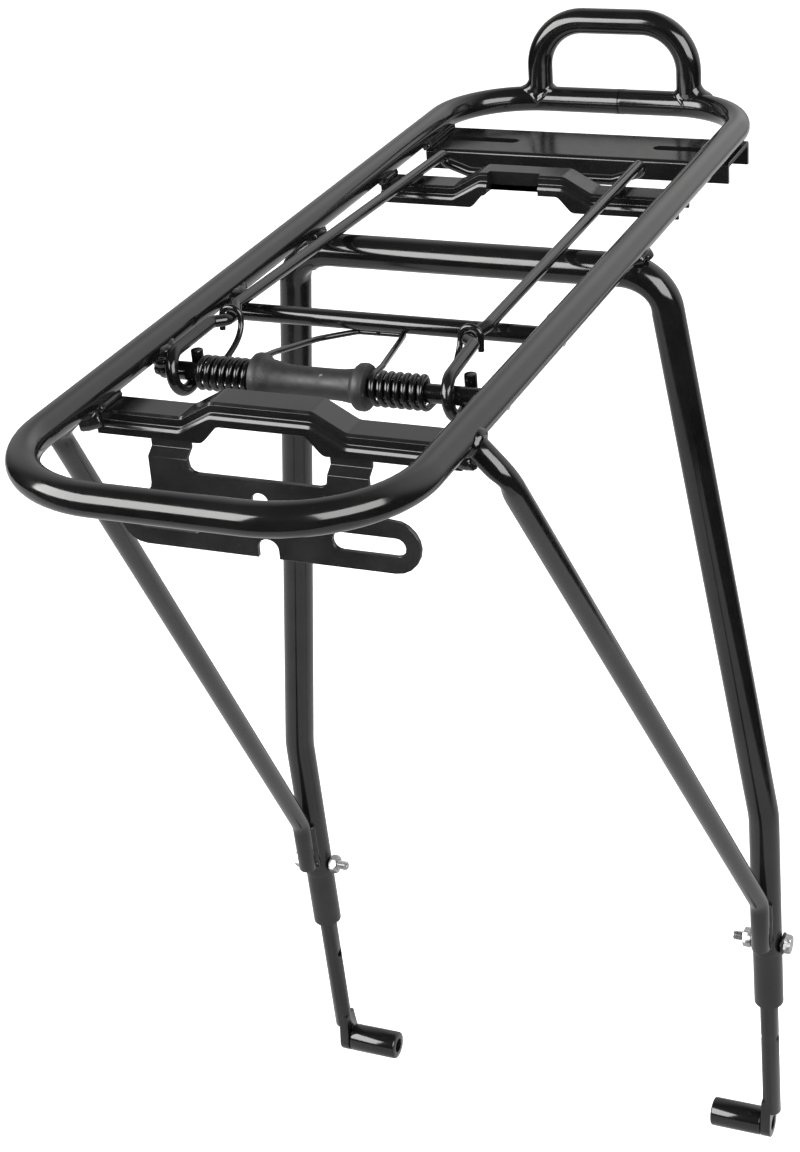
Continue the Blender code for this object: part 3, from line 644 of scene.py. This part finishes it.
def make_member(node, name, centre_x, notch=None):
    """A stamped cross-member: a skirted channel open below, whose middle is raised between two ramps."""
    low, high = cad(node)
    skirt = (high.y - low.y) / 2
    wall, tall, thick = skirt - SKIRT_OUT, MEMBER_H, MEMBER_T
    centre_y = (low.y + high.y) / 2
    half = [(wall - 0.8, 0, 0.05), (wall, -0.8, 0.05), (wall, -3.2, 0.3), (skirt - 0.55, -3.75, 0.25),
            (skirt, -4.8, 0.25), (skirt, -tall, 0.15),
            (skirt - thick, -tall, 0.15), (skirt - thick, -5.1, 0.4), (wall - thick, -4.1, 0.4),
            (wall - thick, -thick, 0.4)]
    whole = half + [(-across, height, radius) for across, height, radius in reversed(half)]
    section = rounded([corner[:2] for corner in whole], [corner[2] for corner in whole], 3)
    top = high.z - MEMBER_RISE

    def share(x, inner, outer):
        """1 in the raised middle and 0 on the low ends, eased at the ramp's corners."""
        near = (-0.9, -0.45, 0, 0.45, 0.9)
        spread = [min(1.0, max(0.0, (outer - abs(x + away)) / (outer - inner))) for away in near]
        return sum(spread) / len(spread)

    stations = [low.x - centre_x] + [-29 + 0.5 * k for k in range(117)] + [high.x - centre_x]
    for edge in notch or ():
        stations += [edge - centre_x + away for away in (-0.35, -0.1, 0.1, 0.35)]
    bm = bmesh.new()
    made = []
    for x in sorted(stations):
        up, lower = MEMBER_RISE * share(x, *MEMBER_RAMP), MEMBER_RISE * share(x, *SKIRT_RAMP)
        inside = notch and notch[0] < x + centre_x < notch[1]
        ring = []
        for across, height in section:
            if inside:
                inner = across > -wall + 0.2 and height < -thick + 0.3
                across = max(across, -wall + NOTCH_DEPTH + (thick if inner else 0.0))
            lift = lower if height < -0.9 * tall else up
            ring.append(bm.verts.new((centre_x + x, centre_y + across, top + height + lift)))
        made.append(ring)
    capped(bm, made)
    finish_mesh(bm, name, "root", SATIN, [node], angle=40)


def make_channel():
    """The slotted channel: a rounded section swept along X, cut by two slots."""
    low, high = cad("front_channel")
    thick = CHANNEL_T
    tall = high.z - low.z
    corners = [(low.y, -tall), (low.y, -1.0), (low.y + 1.0, 0), (high.y - 1.0, 0), (high.y, -1.0),
               (high.y, -tall - FLANGE_DROP), (high.y - thick, -tall - FLANGE_DROP), (high.y - thick, -thick),
               (low.y + thick, -thick), (low.y + thick, -tall)]
    section = rounded(corners, [0.2, 0.5, 0.5, 0.5, 0.5, 0.2, 0.2, 0.4, 0.4, 0.2], 4)
    bm = bmesh.new()
    made = [[bm.verts.new((x, y, high.z + z)) for y, z in section] for x in (low.x, high.x)]
    capped(bm, made)
    bmesh.ops.recalc_face_normals(bm, faces=bm.faces)
    slots = bmesh.new()
    middle_x, middle_y, r = (low.x + high.x) / 2, (low.y + high.y) / 2, SLOT_R
    for side in (-1, 1):
        near, far = sorted(middle_x + side * reach for reach in SLOT_X)
        turns = [math.pi * k / 16 for k in range(17)]
        outline = [(far - r + r * math.sin(t), middle_y - r * math.cos(t)) for t in turns]
        outline += [(near + r - r * math.sin(t), middle_y + r * math.cos(t)) for t in turns]
        capped(slots, [[slots.verts.new((x, y, high.z + z)) for x, y in outline] for z in (-3.0, 1.0)])
    bmesh.ops.recalc_face_normals(slots, faces=slots.faces)
    mesh = meshed(slots, "slots")
    cutter = linked("slots", mesh)
    made = applied(bm, [("BOOLEAN", dict(operation="DIFFERENCE", solver="EXACT", object=cutter))])
    bpy.data.objects.remove(cutter, do_unlink=True)
    bpy.data.meshes.remove(mesh)
    finish_mesh(made, "bracket_channel", "root", CHANNEL, ["front_channel"], angle=35)


def steeper_joggle(bm):
    """Shorten the sloping part of the lamp plate's tabs, so that their bends are as tight as pressed ones."""
    for vert in bm.verts:
        away = vert.co.z - JOGGLE_Z
        if abs(away) <= JOGGLE_REACH:
            vert.co.z = JOGGLE_Z + away * JOGGLE_SHARE


def make_stampings():
    """The two cross-members, the channel and the lamp plate."""
    make_member("rear_cross_member", "rear_stamping", REAR_MEMBER_X)
    make_member("front_cross_member", "front_stamping", FRONT_MEMBER_X, NOTCH_X)
    make_channel()
    refined("lamp_plate", 0.35, "lamp_bracket", TEXTURED, segments=3, sharp=17.0, reshape=steeper_joggle)


# ---------------------------------------------------------------- sprung clamp

def make_sleeve():
    """The rubber sleeve: two unlike collars and a waist between them."""
    low, high = cad("spring_sleeve")
    length = high.x - low.x
    left, right, waist, bore = 7.9, 7.5, 4.9, 3.35
    profile = [(0, bore), (0, left - 1.2), (0.5, left - 0.3), (1.4, left), (3.0, left), (3.9, left - 0.5),
               (5.2, left - 1.7), (8.0, 5.7), (11.0, 5.1), (14.0, waist), (18.0, 4.86), (length - 13.0, 4.88),
               (length - 9.0, 5.0), (length - 6.8, 5.3), (length - 5.2, right - 2.0),
               (length - 4.2, right - 0.8), (length - 3.4, right - 0.15), (length - 2.4, right),
               (length - 1.3, right), (length - 0.4, right - 0.4), (length, right - 1.3), (length, bore)]
    bm = turned(bmesh.new(), profile, low.x, AXLE_Y, AXLE_Z, 48)
    finish_mesh(bm, "rubber_sleeve", "root", RUBBER, ["spring_sleeve"])


def make_bail():
    """The clamp's wire bail: an eye round each end of the pivot rod, two kinked arms and a cross part."""
    def eye(x_link, steps=26):
        points = []
        for k in range(steps + 1):
            share = k / steps
            turn = math.radians(90 + 270 * share)
            points.append(Vector((x_link + EYE_STEP * share, AXLE_Y - 0.8 + EYE_R * math.cos(turn),
                                  AXLE_Z + 0.6 + EYE_R * math.sin(turn))))
        return points + [points[-1] + Vector((0, 0, 4.6))]

    def arm(side):
        link, kink, rear, front = [CLAMP_X + side * half
                                   for half in (LINK_HALF, KINK_HALF, ARM_REAR_HALF, ARM_FRONT_HALF)]
        return [((link - side * 1.2, KINK_Y - 7.0, DECK_Z - 0.4), 3.0),
                ((kink, KINK_Y - 3.2, DECK_Z - 0.8), 3.0), ((kink, KINK_Y + 3.2, DECK_Z - 1.2), 3.0),
                ((rear, KINK_Y + 8.5, DECK_Z - 0.3), 3.0), ((front, ARM_FRONT_Y, DECK_Z - 3.0), 3.6),
                ((front + side * 0.3, 55.1, DECK_Z - 6.6), 2.4),
                ((CLAMP_X + side * CROSS_HALF, ARM_FRONT_Y, DECK_Z - 10.0), 5.0)]
    left, right = eye(CLAMP_X - LINK_HALF), eye(CLAMP_X + LINK_HALF)
    middle = arm(-1) + arm(1)[::-1]
    corners = [left[0]] + [Vector(point) for point, _ in middle] + [right[0]]
    radii = [0] + [radius for _, radius in middle] + [0]
    path = left[::-1][:-1] + bent_path(corners, radii, step=8) + right[1:]
    bm = swept(path, BAIL_R, 20, cap=0.35)
    finish_mesh(bm, "bail_rod", "clamp", GLOSS, ["clamp_bail"])


def coil(x_start, x_end, start, turns, steps=30):
    """A helix round the pivot rod, from an angle in degrees."""
    count = int(round(abs(turns) * steps))
    points = []
    for k in range(count + 1):
        share = k / count
        turn = math.radians(start + 360 * turns * share)
        points.append(Vector((x_start + (x_end - x_start) * share, AXLE_Y + COIL_R * math.cos(turn),
                              AXLE_Z + COIL_R * math.sin(turn))))
    return points


def spring_hook(side):
    """The spring leg's end: up on the bail's inner side, over the rod and down outside."""
    x = CLAMP_X + side * KINK_HALF
    y, z = KINK_Y, DECK_Z - 1.0
    points = [Vector((x - side * 2.2, y - 17.5, z - 11.5)), Vector((x - side * 3.4, y - 5.5, z - 7.5)),
              Vector((x - side * 3.6, y - 0.8, z - 3.4))]
    for k in range(13):
        turn = math.radians(10 + 185 * k / 12)
        points.append(Vector((x - side * HOOK_R * math.cos(turn), y, z + HOOK_R * math.sin(turn))))
    return points + [Vector((x + side * HOOK_R, y - 0.6, z - 4.6))]


def softened(points, rounds=2):
    """Cut the corners of a path, keeping its ends."""
    points = [Vector(point) for point in points]
    for _ in range(rounds):
        out = [points[0]]
        for a, b in zip(points, points[1:]):
            out += [a.lerp(b, 0.25), a.lerp(b, 0.75)]
        points = out + [points[-1]]
    return points


def make_spring():
    """The two coils with their hooks, cut in the middle of the bridge into a piece for each side."""
    below = AXLE_Z - AXLE_R - 1.3
    left = coil(-44.1, -27.3, 270, -COIL_TURNS)
    right = coil(14.9, 32.2, 90, COIL_TURNS)
    bridge = [(-26.9, AXLE_Y + 17.0, AXLE_Z + 1.6), (-23.6, STOP_Y - 9.5, below + 0.8),
              (-14.0, STOP_Y + 1.2, below), (2.4, STOP_Y + 1.5, below), (14.6, AXLE_Y + 7.0, AXLE_Z + 4.3)]
    corners = [left[-1]] + [Vector(point) for point in bridge] + [right[0]]
    middle = bent_path(corners, [0, 8.0, 8.0, 3.0, 2.5, 2.0, 0], step=12)
    split = Vector((-6.0, STOP_Y + 1.35, below))
    near = [p for p in middle if p.x < split.x] + [split]
    far = [split] + [p for p in middle if p.x > split.x]
    for word, hook, turns, lead, start, end in (
            ("left", spring_hook(-1)[::-1], left, near, -27.0, -44.4),
            ("right", spring_hook(1), right, far, 14.6, 32.5)):
        if word == "left":
            path = softened(hook, 2)[:-1] + turns + softened(lead[1:], 1)
        else:
            path = softened(lead[:-1], 1) + turns + softened(hook, 2)[1:]
        bm = swept(path, WIRE_R, 14, cap=0.2)
        piece = finish_mesh(bm, "spring_" + word, None, GLOSS)
        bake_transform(piece)
        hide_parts("torsion_spring")


# ---------------------------------------------------------------- telescopic legs

def make_sliders():
    """The leg extensions and the bushes on their feet."""
    for side, word in HANDS:
        body = "leg_slider_" + word
        refined("leg_extension_" + word, 0.3, "extension_" + word, GLOSS, body, angle=35.0)
        low, high = cad("foot_bush_" + word)
        length = high.x - low.x
        profile = [(0, BUSH_BORE), (0, 5.3), (0.25, 5.85), (0.8, BUSH_R), (length - 0.8, BUSH_R),
                   (length - 0.25, 5.85), (length, 5.3), (length, BUSH_BORE), (length - 0.5, 3.0), (0.5, 3.0)]
        bm = turned(bmesh.new(), profile, low.x, 0, 0, 48)
        finish_mesh(bm, "bush_" + word, body, GLOSS, ["foot_bush_" + word], angle=50)


def hexagon(bm, start, end, y, z, across, dome, bore):
    """A hexagon along X whose corners are turned off at the far end, or at both ends for a nut."""
    corner = across / math.sqrt(3)
    flip = 1 if end > start else -1
    lead = 0.35
    stations = [(start, 0.93 if bore else 1.0), (start + flip * lead, 1.0), (end - flip * 0.45, 1.0),
                (end, 0.9)]
    sixth = math.pi / 6

    def loop(x, widest):
        points = []
        for k in range(36):
            turn = 2 * math.pi * k / 36 + sixth
            r = min(across / 2 / math.cos(turn % (2 * sixth) - sixth), widest)
            points.append(bm.verts.new((x, y + r * math.cos(turn), z + r * math.sin(turn))))
        return points

    made = [loop(x, corner * share) for x, share in stations]
    if bore:
        wide = bore + lead
        made += [loop(end, wide), loop(end - flip * lead, bore), loop(start + flip * lead, bore),
                 loop(start, wide)]
        skin(bm, made, True)
        return
    skin(bm, made, False)
    bm.faces.new(made[0][::-1])
    middle = Vector((end, y, z))
    top = [bm.verts.new(middle.lerp(v.co, 0.45) + Vector((flip * dome, 0, 0))) for v in made[-1]]
    skin(bm, [made[-1], top], False)
    bm.faces.new(top)


def make_fasteners():
    """The bolts with their threads, and their nuts and washers."""
    y = -LEAN * BOLT_Z
    for side, word in HANDS:
        low, high = cad("leg_bolt_" + word)
        tip = low.x if side > 0 else high.x
        head_end = high.x if side > 0 else low.x
        head = head_end - side * HEAD_H
        lead, root_r, shank_r = 0.3, 1.62, 1.98
        thread = [(0.0, 1.45)]
        for k in range(THREAD_TURNS):
            thread += [(lead + k * THREAD_PITCH, 1.5 if k == 0 else root_r),
                       (lead + (k + 0.5) * THREAD_PITCH, BOLT_R)]
        shank = abs(head - tip) + lead
        thread_end = lead + THREAD_TURNS * THREAD_PITCH
        thread += [(thread_end, root_r), (thread_end + lead, shank_r), (shank, shank_r)]
        path = [Vector((tip + side * along, y, BOLT_Z)) for along, _ in thread]
        bm = bmesh.new()
        made = []
        turns = [2 * math.pi * k / 24 for k in range(24)]
        for (_, r), point in zip(thread, path):
            made.append([bm.verts.new(point + Vector((0, r * math.cos(turn), r * math.sin(turn))))
                         for turn in turns])
        capped(bm, made)
        dome = 0.25
        hexagon(bm, head, head_end - side * dome, y, BOLT_Z, HEAD_AF, dome, 0)
        finish_mesh(bm, "bolt_" + word, "root", ZINC, ["leg_bolt_" + word], angle=30)
        low, high = cad("leg_nut_" + word)
        bm = bmesh.new()
        hexagon(bm, low.x, high.x, y, BOLT_Z, HEAD_AF, 0, 2.15)
        finish_mesh(bm, "nut_" + word, "root", ZINC, ["leg_nut_" + word], angle=30)
        low, high = cad("leg_washer_" + word)
        thick = high.x - low.x
        profile = rounded([(0, 2.3), (0, WASHER_R), (thick, WASHER_R), (thick, 2.3)], 0.2)
        bm = turned(bmesh.new(), profile, low.x, y, BOLT_Z, 40)
        node = "leg_washer_" + word
        finish_mesh(bm, "washer_" + word, "root", BLACKENED, [node], angle=50)


# ---------------------------------------------------------------- welds

def bead(bm, points, radius, closed=False, phase=0.0):
    """A weld bead: a rod along points whose size swells and sinks as the puddle was moved on."""
    points = [Vector(p) for p in points]

    def size(point):
        ripple = noise.noise(point * 0.55 + Vector((phase, 3.1, 7.7)))
        return radius * (1 + 0.28 * ripple)
    sweep(bm, points, size, 10, closed)


def seam(foot, along, foot_r, point, axis, radius, steps=28):
    """The closed line where a rod of foot_r that ends on a round bar meets the bar's skin."""
    foot, point = Vector(foot), Vector(point)
    along, axis = Vector(along).normalized(), Vector(axis).normalized()
    side = along.cross(axis).normalized()
    up = along.cross(side).normalized()
    line = []
    for k in range(steps):
        turn = 2 * math.pi * k / steps
        start = foot + (side * math.cos(turn) + up * math.sin(turn)) * foot_r
        # nearest travel along the rod at which the line meets the bar
        offset = start - point
        a = along - axis * along.dot(axis)
        b = offset - axis * offset.dot(axis)
        aa, ab, bb = a.dot(a), a.dot(b), b.dot(b) - radius * radius
        root = ab * ab - aa * bb
        travel = (-ab + math.sqrt(root)) / aa if root > 0 else -ab / aa
        line.append(start + along * travel)
    return line


def weld(name, rods, beads, smooth, horns=()):
    """Weld metal: the rods that meet, thinned a little, run together with beads and horns and smoothed."""
    bm = bmesh.new()
    for path, radius in rods:
        sweep(bm, path, radius - WELD_SINK, 24)
    for horn in horns:
        skin(bm, [[bm.verts.new(point) for point in loop] for loop in horn], False)
        for loop in (horn[0], horn[-1]):
            bm.faces.new([bm.verts.new(point) for point in loop])
    for i, (points, radius, closed) in enumerate(beads):
        bead(bm, points, radius, closed, phase=i * 4.7)
    made = applied(bm, [
        ("REMESH", dict(mode="VOXEL", voxel_size=WELD_VOXEL, use_smooth_shade=True)),
        ("SMOOTH", dict(factor=0.5, iterations=smooth))])
    finish_mesh(made, name, "root", WELD, angle=80)


def trumpet(x, side, steps=14):
    """Rings of the fillet that spreads a hoop leg's foot along the front bar, wider on its outer side."""
    made = []
    tall, base = 11.0, 4.6
    for k in range(steps + 1):
        z = tall * k / steps
        spread = []
        for radius in (5.2, 3.0):
            left = min(radius, max(0.0, radius - (z - base)))
            spread.append(radius - math.sqrt(max(0.0, radius * radius - left * left)))
        half = DECK_R - 0.25 + (spread[0] + spread[1]) / 2
        middle = x + side * (spread[0] - spread[1]) / 2
        made.append(ring((middle, FRONT_Y, DECK_Z + z), (1, 0, 0), (0, 1, 0), half, DECK_R - WELD_SINK, 32))
    return made


def make_hoop_welds():
    """The fillets at the hoop's feet."""
    for side, word in HANDS:
        x = HOOP_X + side * HOOP_HALF
        line = seam((x, FRONT_Y, HOOP_FOOT), (0, 0, 1), DECK_R, (x, FRONT_Y, DECK_Z), (1, 0, 0), DECK_R)
        rods = [(deck_run((x, FRONT_Y, DECK_Z), 14), DECK_R)]
        weld("weld_hoop_" + word, rods, [(line, 0.85, True)], 9, [trumpet(x, side)])


def ring(centre, a, b, ra, rb, steps=20):
    """Points round an ellipse with half-axes ra along a and rb along b."""
    centre, a, b = Vector(centre), Vector(a), Vector(b)
    return [centre + a * ra * math.cos(2 * math.pi * k / steps) + b * rb * math.sin(2 * math.pi * k / steps)
            for k in range(steps)]


def make_leg_welds():
    """The welds between the leg tube's crossbar and the rails."""
    y, z = LEG_BAR
    top = z + LEG_R
    for side, word in HANDS:
        x = side * RAIL_X
        rods = [(deck_run((x, y, DECK_Z), 11), DECK_R), (run_of(leg_path(), (x, y, z), 6.5), LEG_R)]
        rear = [(x - side * 3.4, y - 3.6, top - 0.2), (x, y - 5.0, top - 0.9),
                (x + side * 3.4, y - 3.8, top - 0.2)]
        outer = [(x + side * 3.6, y - 2.0, top - 0.4), (x + side * 4.4, y, top + 0.1),
                 (x + side * 3.6, y + 2.0, top - 0.4)]
        beads = [(ring((x, y, top + 0.15), (1, 0, 0), (0, 1, 0), 3.7, 4.3), 1.35, True),
                 (rear, 1.5, False), (outer, 1.4, False)]
        weld("weld_leg_" + word, rods, beads, 8)


def make_bar_welds():
    """The welds at the ends of the clamp's two bars."""
    for node, y in (("axle", AXLE_Y), ("stop_bar", STOP_Y)):
        for side, word in HANDS:
            x = side * RAIL_X
            top = AXLE_Z + AXLE_R
            rods = [(deck_run((x, y, DECK_Z), 9), DECK_R),
                    ([Vector((x - side * 9, y, AXLE_Z)), Vector((x - side * 2.8, y, AXLE_Z))], AXLE_R)]
            loop = ring((x - side * 3.4, y, top + 0.3), (1, 0, 0), (0, 1, 0), 2.2, 3.2)
            cheek = [(x - side * 4.6, y - 2.6, top + 1.2), (x - side * 5.2, y, top + 1.6),
                     (x - side * 4.6, y + 2.6, top + 1.2)]
            hump = [(x - side * 2.4, y - 4.6, DECK_Z - 0.6), (x - side * 5.6, y - 1.6, DECK_Z - 2.2),
                    (x - side * 5.6, y + 1.6, DECK_Z - 2.4), (x - side * 2.4, y + 4.6, DECK_Z - 0.8)]
            beads = [(loop, 1.5, True), (cheek, 1.7, False), (softened(hump), 2.5, False)]
            if side < 0:
                # the left ends were welded first and heaviest, right over the ends of the bars
                over = [(x + 0.8, y, AXLE_Z + 1.3), (x + 3.0, y, AXLE_Z + 1.0), (x + 5.6, y, AXLE_Z + 0.4)]
                beads.append((over, 3.3, False))
            weld("weld_{}_{}".format(node, word), rods, beads, 8)


def make_stay_welds():
    """The welds at the stays' tops and down the backs of the legs."""
    for side, word in HANDS:
        path = stay_path(side)
        top, after = path[0], path[1]
        along = (after - top).normalized()
        line = seam(top, along, STAY_R, (side * RAIL_X, STAY_Y, DECK_Z), (0, 1, 0), DECK_R)
        rods = [(deck_run((side * RAIL_X, STAY_Y, DECK_Z), 9), DECK_R),
                ([top - along * 3] + run_of(path, top, 5.5), STAY_R)]
        blob = [(side * 57.6, STAY_Y + 1.5, DECK_Z - 7.6), (side * 60.6, STAY_Y + 0.5, DECK_Z - 8.6),
                (side * 64.0, STAY_Y - 0.5, DECK_Z - 8.8)]
        weld("weld_stay_top_" + word, rods, [(line, 1.7, True), (softened(blob), 2.9, False)], 8)
        low = leg_point(side * FOOT_X, STAY_END_Z)
        high = leg_point(side * FOOT_X, STAY_FOOT_Z - 3)
        back = Vector((0, -STAY_BEHIND, 0))
        rods = [([low - Vector((0, 0, 8)), high + Vector((0, 0, 3))], LEG_R),
                ([low + back, high + back], STAY_R)]
        beads = []
        for across in (-1, 1):
            shift = Vector((across * 2.9, -LEG_R - 0.1, 0))
            beads.append(([low.lerp(high, k / 8) + shift for k in range(9)], 1.25, False))
        toe = [low + Vector((3.2 * math.cos(t), -LEG_R - 1.0 - 2.2 * math.sin(t), -0.4))
               for t in [math.pi * k / 8 for k in range(9)]]
        beads.append((toe, 1.1, False))
        weld("weld_stay_foot_" + word, rods, beads, 8)


def make_member_welds():
    """Beads along the ends of the stamped cross-members and the channel, under the rails."""
    for node, word in (("rear_cross_member", "rear"), ("front_cross_member", "front"),
                       ("front_channel", "channel")):
        low, high = cad(node)
        y0, y1 = low.y, high.y
        top = DECK_Z - DECK_R - 0.3
        for side, hand in HANDS:
            x = side * RAIL_X
            rods = [(deck_run((x, (y0 + y1) / 2, DECK_Z), (y1 - y0) / 2 + 5), DECK_R)]
            beads = []
            for y, out in ((y0 + 1.2, -1), (y1 - 3.2, 1)):
                points = [(x - side * 4.2, y, top + 1.0), (x - side * 2.6, y + out * 0.5, top + 0.3),
                          (x - side * 1.2, y + out * 0.6, top + 0.1)]
                beads.append((points, 1.3, False))
            inner = [(x - side * 3.4, y0 + 2 + (y1 - y0 - 6) * k / 8, top + 0.6) for k in range(9)]
            beads.append((inner, 0.95, False))
            weld("weld_{}_{}".format(word, hand), rods, beads, 22)


# ---------------------------------------------------------------- studio

def emission(name, strength):
    """A plain white glow."""
    material = bpy.data.materials.new(name)
    material.use_nodes = True
    tree = material.node_tree
    tree.nodes.clear()
    out = tree.nodes.new("ShaderNodeOutputMaterial")
    glow = tree.nodes.new("ShaderNodeEmission")
    glow.inputs["Color"].default_value = (1, 1, 1, 1)
    glow.inputs["Strength"].default_value = strength
    tree.links.new(glow.outputs[0], out.inputs["Surface"])
    return material


def flat(name, corners, material):
    """A flat face that is part of the studio."""
    mesh = bpy.data.meshes.new(name)
    mesh.from_pydata(corners, [], [tuple(range(len(corners)))])
    mesh.materials.append(material)
    obj = linked(name, mesh)
    return obj


def make_floor():
    """A pale floor. Its mirror image in the gloss comes from a table top of limited size, as in a studio."""
    material, tree, shader = new_material("studio_floor", (0.86, 0.86, 0.86), 0.9)
    tone = ramp(tree, noise_node(tree, 6, 2), 0.3, 0.7, 0.0, 1.0)
    pale = mix_colour(tree, tone, (0.85, 0.85, 0.85), (0.87, 0.87, 0.87))
    tree.links.new(pale, shader.inputs["Base Color"])
    shader.inputs["Specular IOR Level"].default_value = 0.0
    shader.inputs["Emission Color"].default_value = (1, 1, 1, 1)
    shader.inputs["Emission Strength"].default_value = 0.62
    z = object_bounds()[0][2] - 0.0004
    floor = flat("floor", [(-30, -30, z), (30, -30, z), (30, 30, z), (-30, 30, z)], material)
    floor.visible_glossy = False
    table = flat("table_glow", [(-1.4, -0.56, z), (0.44, -0.56, z), (0.38, 2.6, z), (-1.4, 2.6, z)],
                 emission("table_glow", 0.78))
    for name in ("visible_camera", "visible_diffuse", "visible_shadow", "visible_transmission"):
        setattr(table, name, False)


def make_world():
    """Soft surroundings: dim overhead and in front, and a bright wall behind on the right."""
    world = bpy.data.worlds.new("studio")
    bpy.context.scene.world = world
    world.use_nodes = True
    tree = world.node_tree
    tree.nodes.clear()
    out = tree.nodes.new("ShaderNodeOutputWorld")
    background = tree.nodes.new("ShaderNodeBackground")
    tree.links.new(background.outputs[0], out.inputs["Surface"])
    where = tree.nodes.new("ShaderNodeTexCoord")
    total = None
    for direction, low, high, strength in (
            ((0.5, 0.78, 0.36), 0.62, 0.97, 1.05), ((-0.5, 0.78, 0.36), 0.66, 1.0, 0.5),
            ((0, 0, 1), -0.05, 0.5, 0.12)):
        dot = tree.nodes.new("ShaderNodeVectorMath")
        dot.operation = "DOT_PRODUCT"
        tree.links.new(where.outputs["Generated"], dot.inputs[0])
        dot.inputs[1].default_value = Vector(direction).normalized()
        share = ramp(tree, dot.outputs["Value"], low, high, 0, strength)
        share.node.interpolation_type = "SMOOTHSTEP"
        total = share if total is None else maths(tree, "ADD", total, share)
    tree.links.new(total, background.inputs["Strength"])
    background.inputs["Color"].default_value = (1, 0.99, 0.985, 1)


def softbox(name, direction, width, height, radiance):
    """A soft lamp that faces the deck."""
    light = bpy.data.lights.new(name, "AREA")
    light.shape = "RECTANGLE"
    light.size = width
    light.size_y = height
    light.energy = radiance * math.pi * width * height
    light.color = (1, 0.99, 0.98)
    obj = linked(name, light)
    away = Vector(direction).normalized()
    obj.location = Vector((0, -0.1, 0.38)) + away * 2.2
    obj.rotation_euler = away.to_track_quat("Z", "Y").to_euler()
    obj.visible_camera = False


def make_lights():
    """The two key lights, with a dark gap between them behind the camera."""
    softbox("key_left", (-0.71, -0.71, 0.44), 2.3, 1.45, 12)
    softbox("key_right", (0.85, -0.53, 0.44), 1.9, 1.45, 9)


def make_camera():
    """The viewpoint: position in metres, turned 24.4 degrees round, 27.1 down and rolled 4.6."""
    azimuth, elevation, roll = (math.radians(a) for a in (24.42, 27.14, -4.57))
    forward = Vector((-math.sin(azimuth) * math.cos(elevation), math.cos(azimuth) * math.cos(elevation),
                      -math.sin(elevation)))
    level = Vector((math.cos(azimuth), math.sin(azimuth), 0))
    upright = level.cross(forward)
    right = level * math.cos(roll) + upright * math.sin(roll)
    up = upright * math.cos(roll) - level * math.sin(roll)
    data = bpy.data.cameras.new("camera")
    data.sensor_width = 36
    data.lens = 72.055
    data.clip_start = 0.01
    obj = bpy.data.objects.new("camera", data)
    matrix = Matrix((right, up, -forward)).transposed().to_4x4()
    matrix.translation = Vector((0.28775, -0.75294, 0.66671))
    obj.matrix_world = matrix
    bpy.context.scene.collection.objects.link(obj)
    bpy.context.scene.camera = obj


bpy.context.scene.view_settings.view_transform = "Standard"
make_camera()
make_world()
make_lights()
make_floor()
make_deck()
make_hoop()
make_legs()
make_stays()
make_bars()
make_stampings()
make_sleeve()
make_bail()
make_spring()
make_sliders()
make_fasteners()
make_hoop_welds()
make_leg_welds()
make_bar_welds()
make_stay_welds()
make_member_welds()
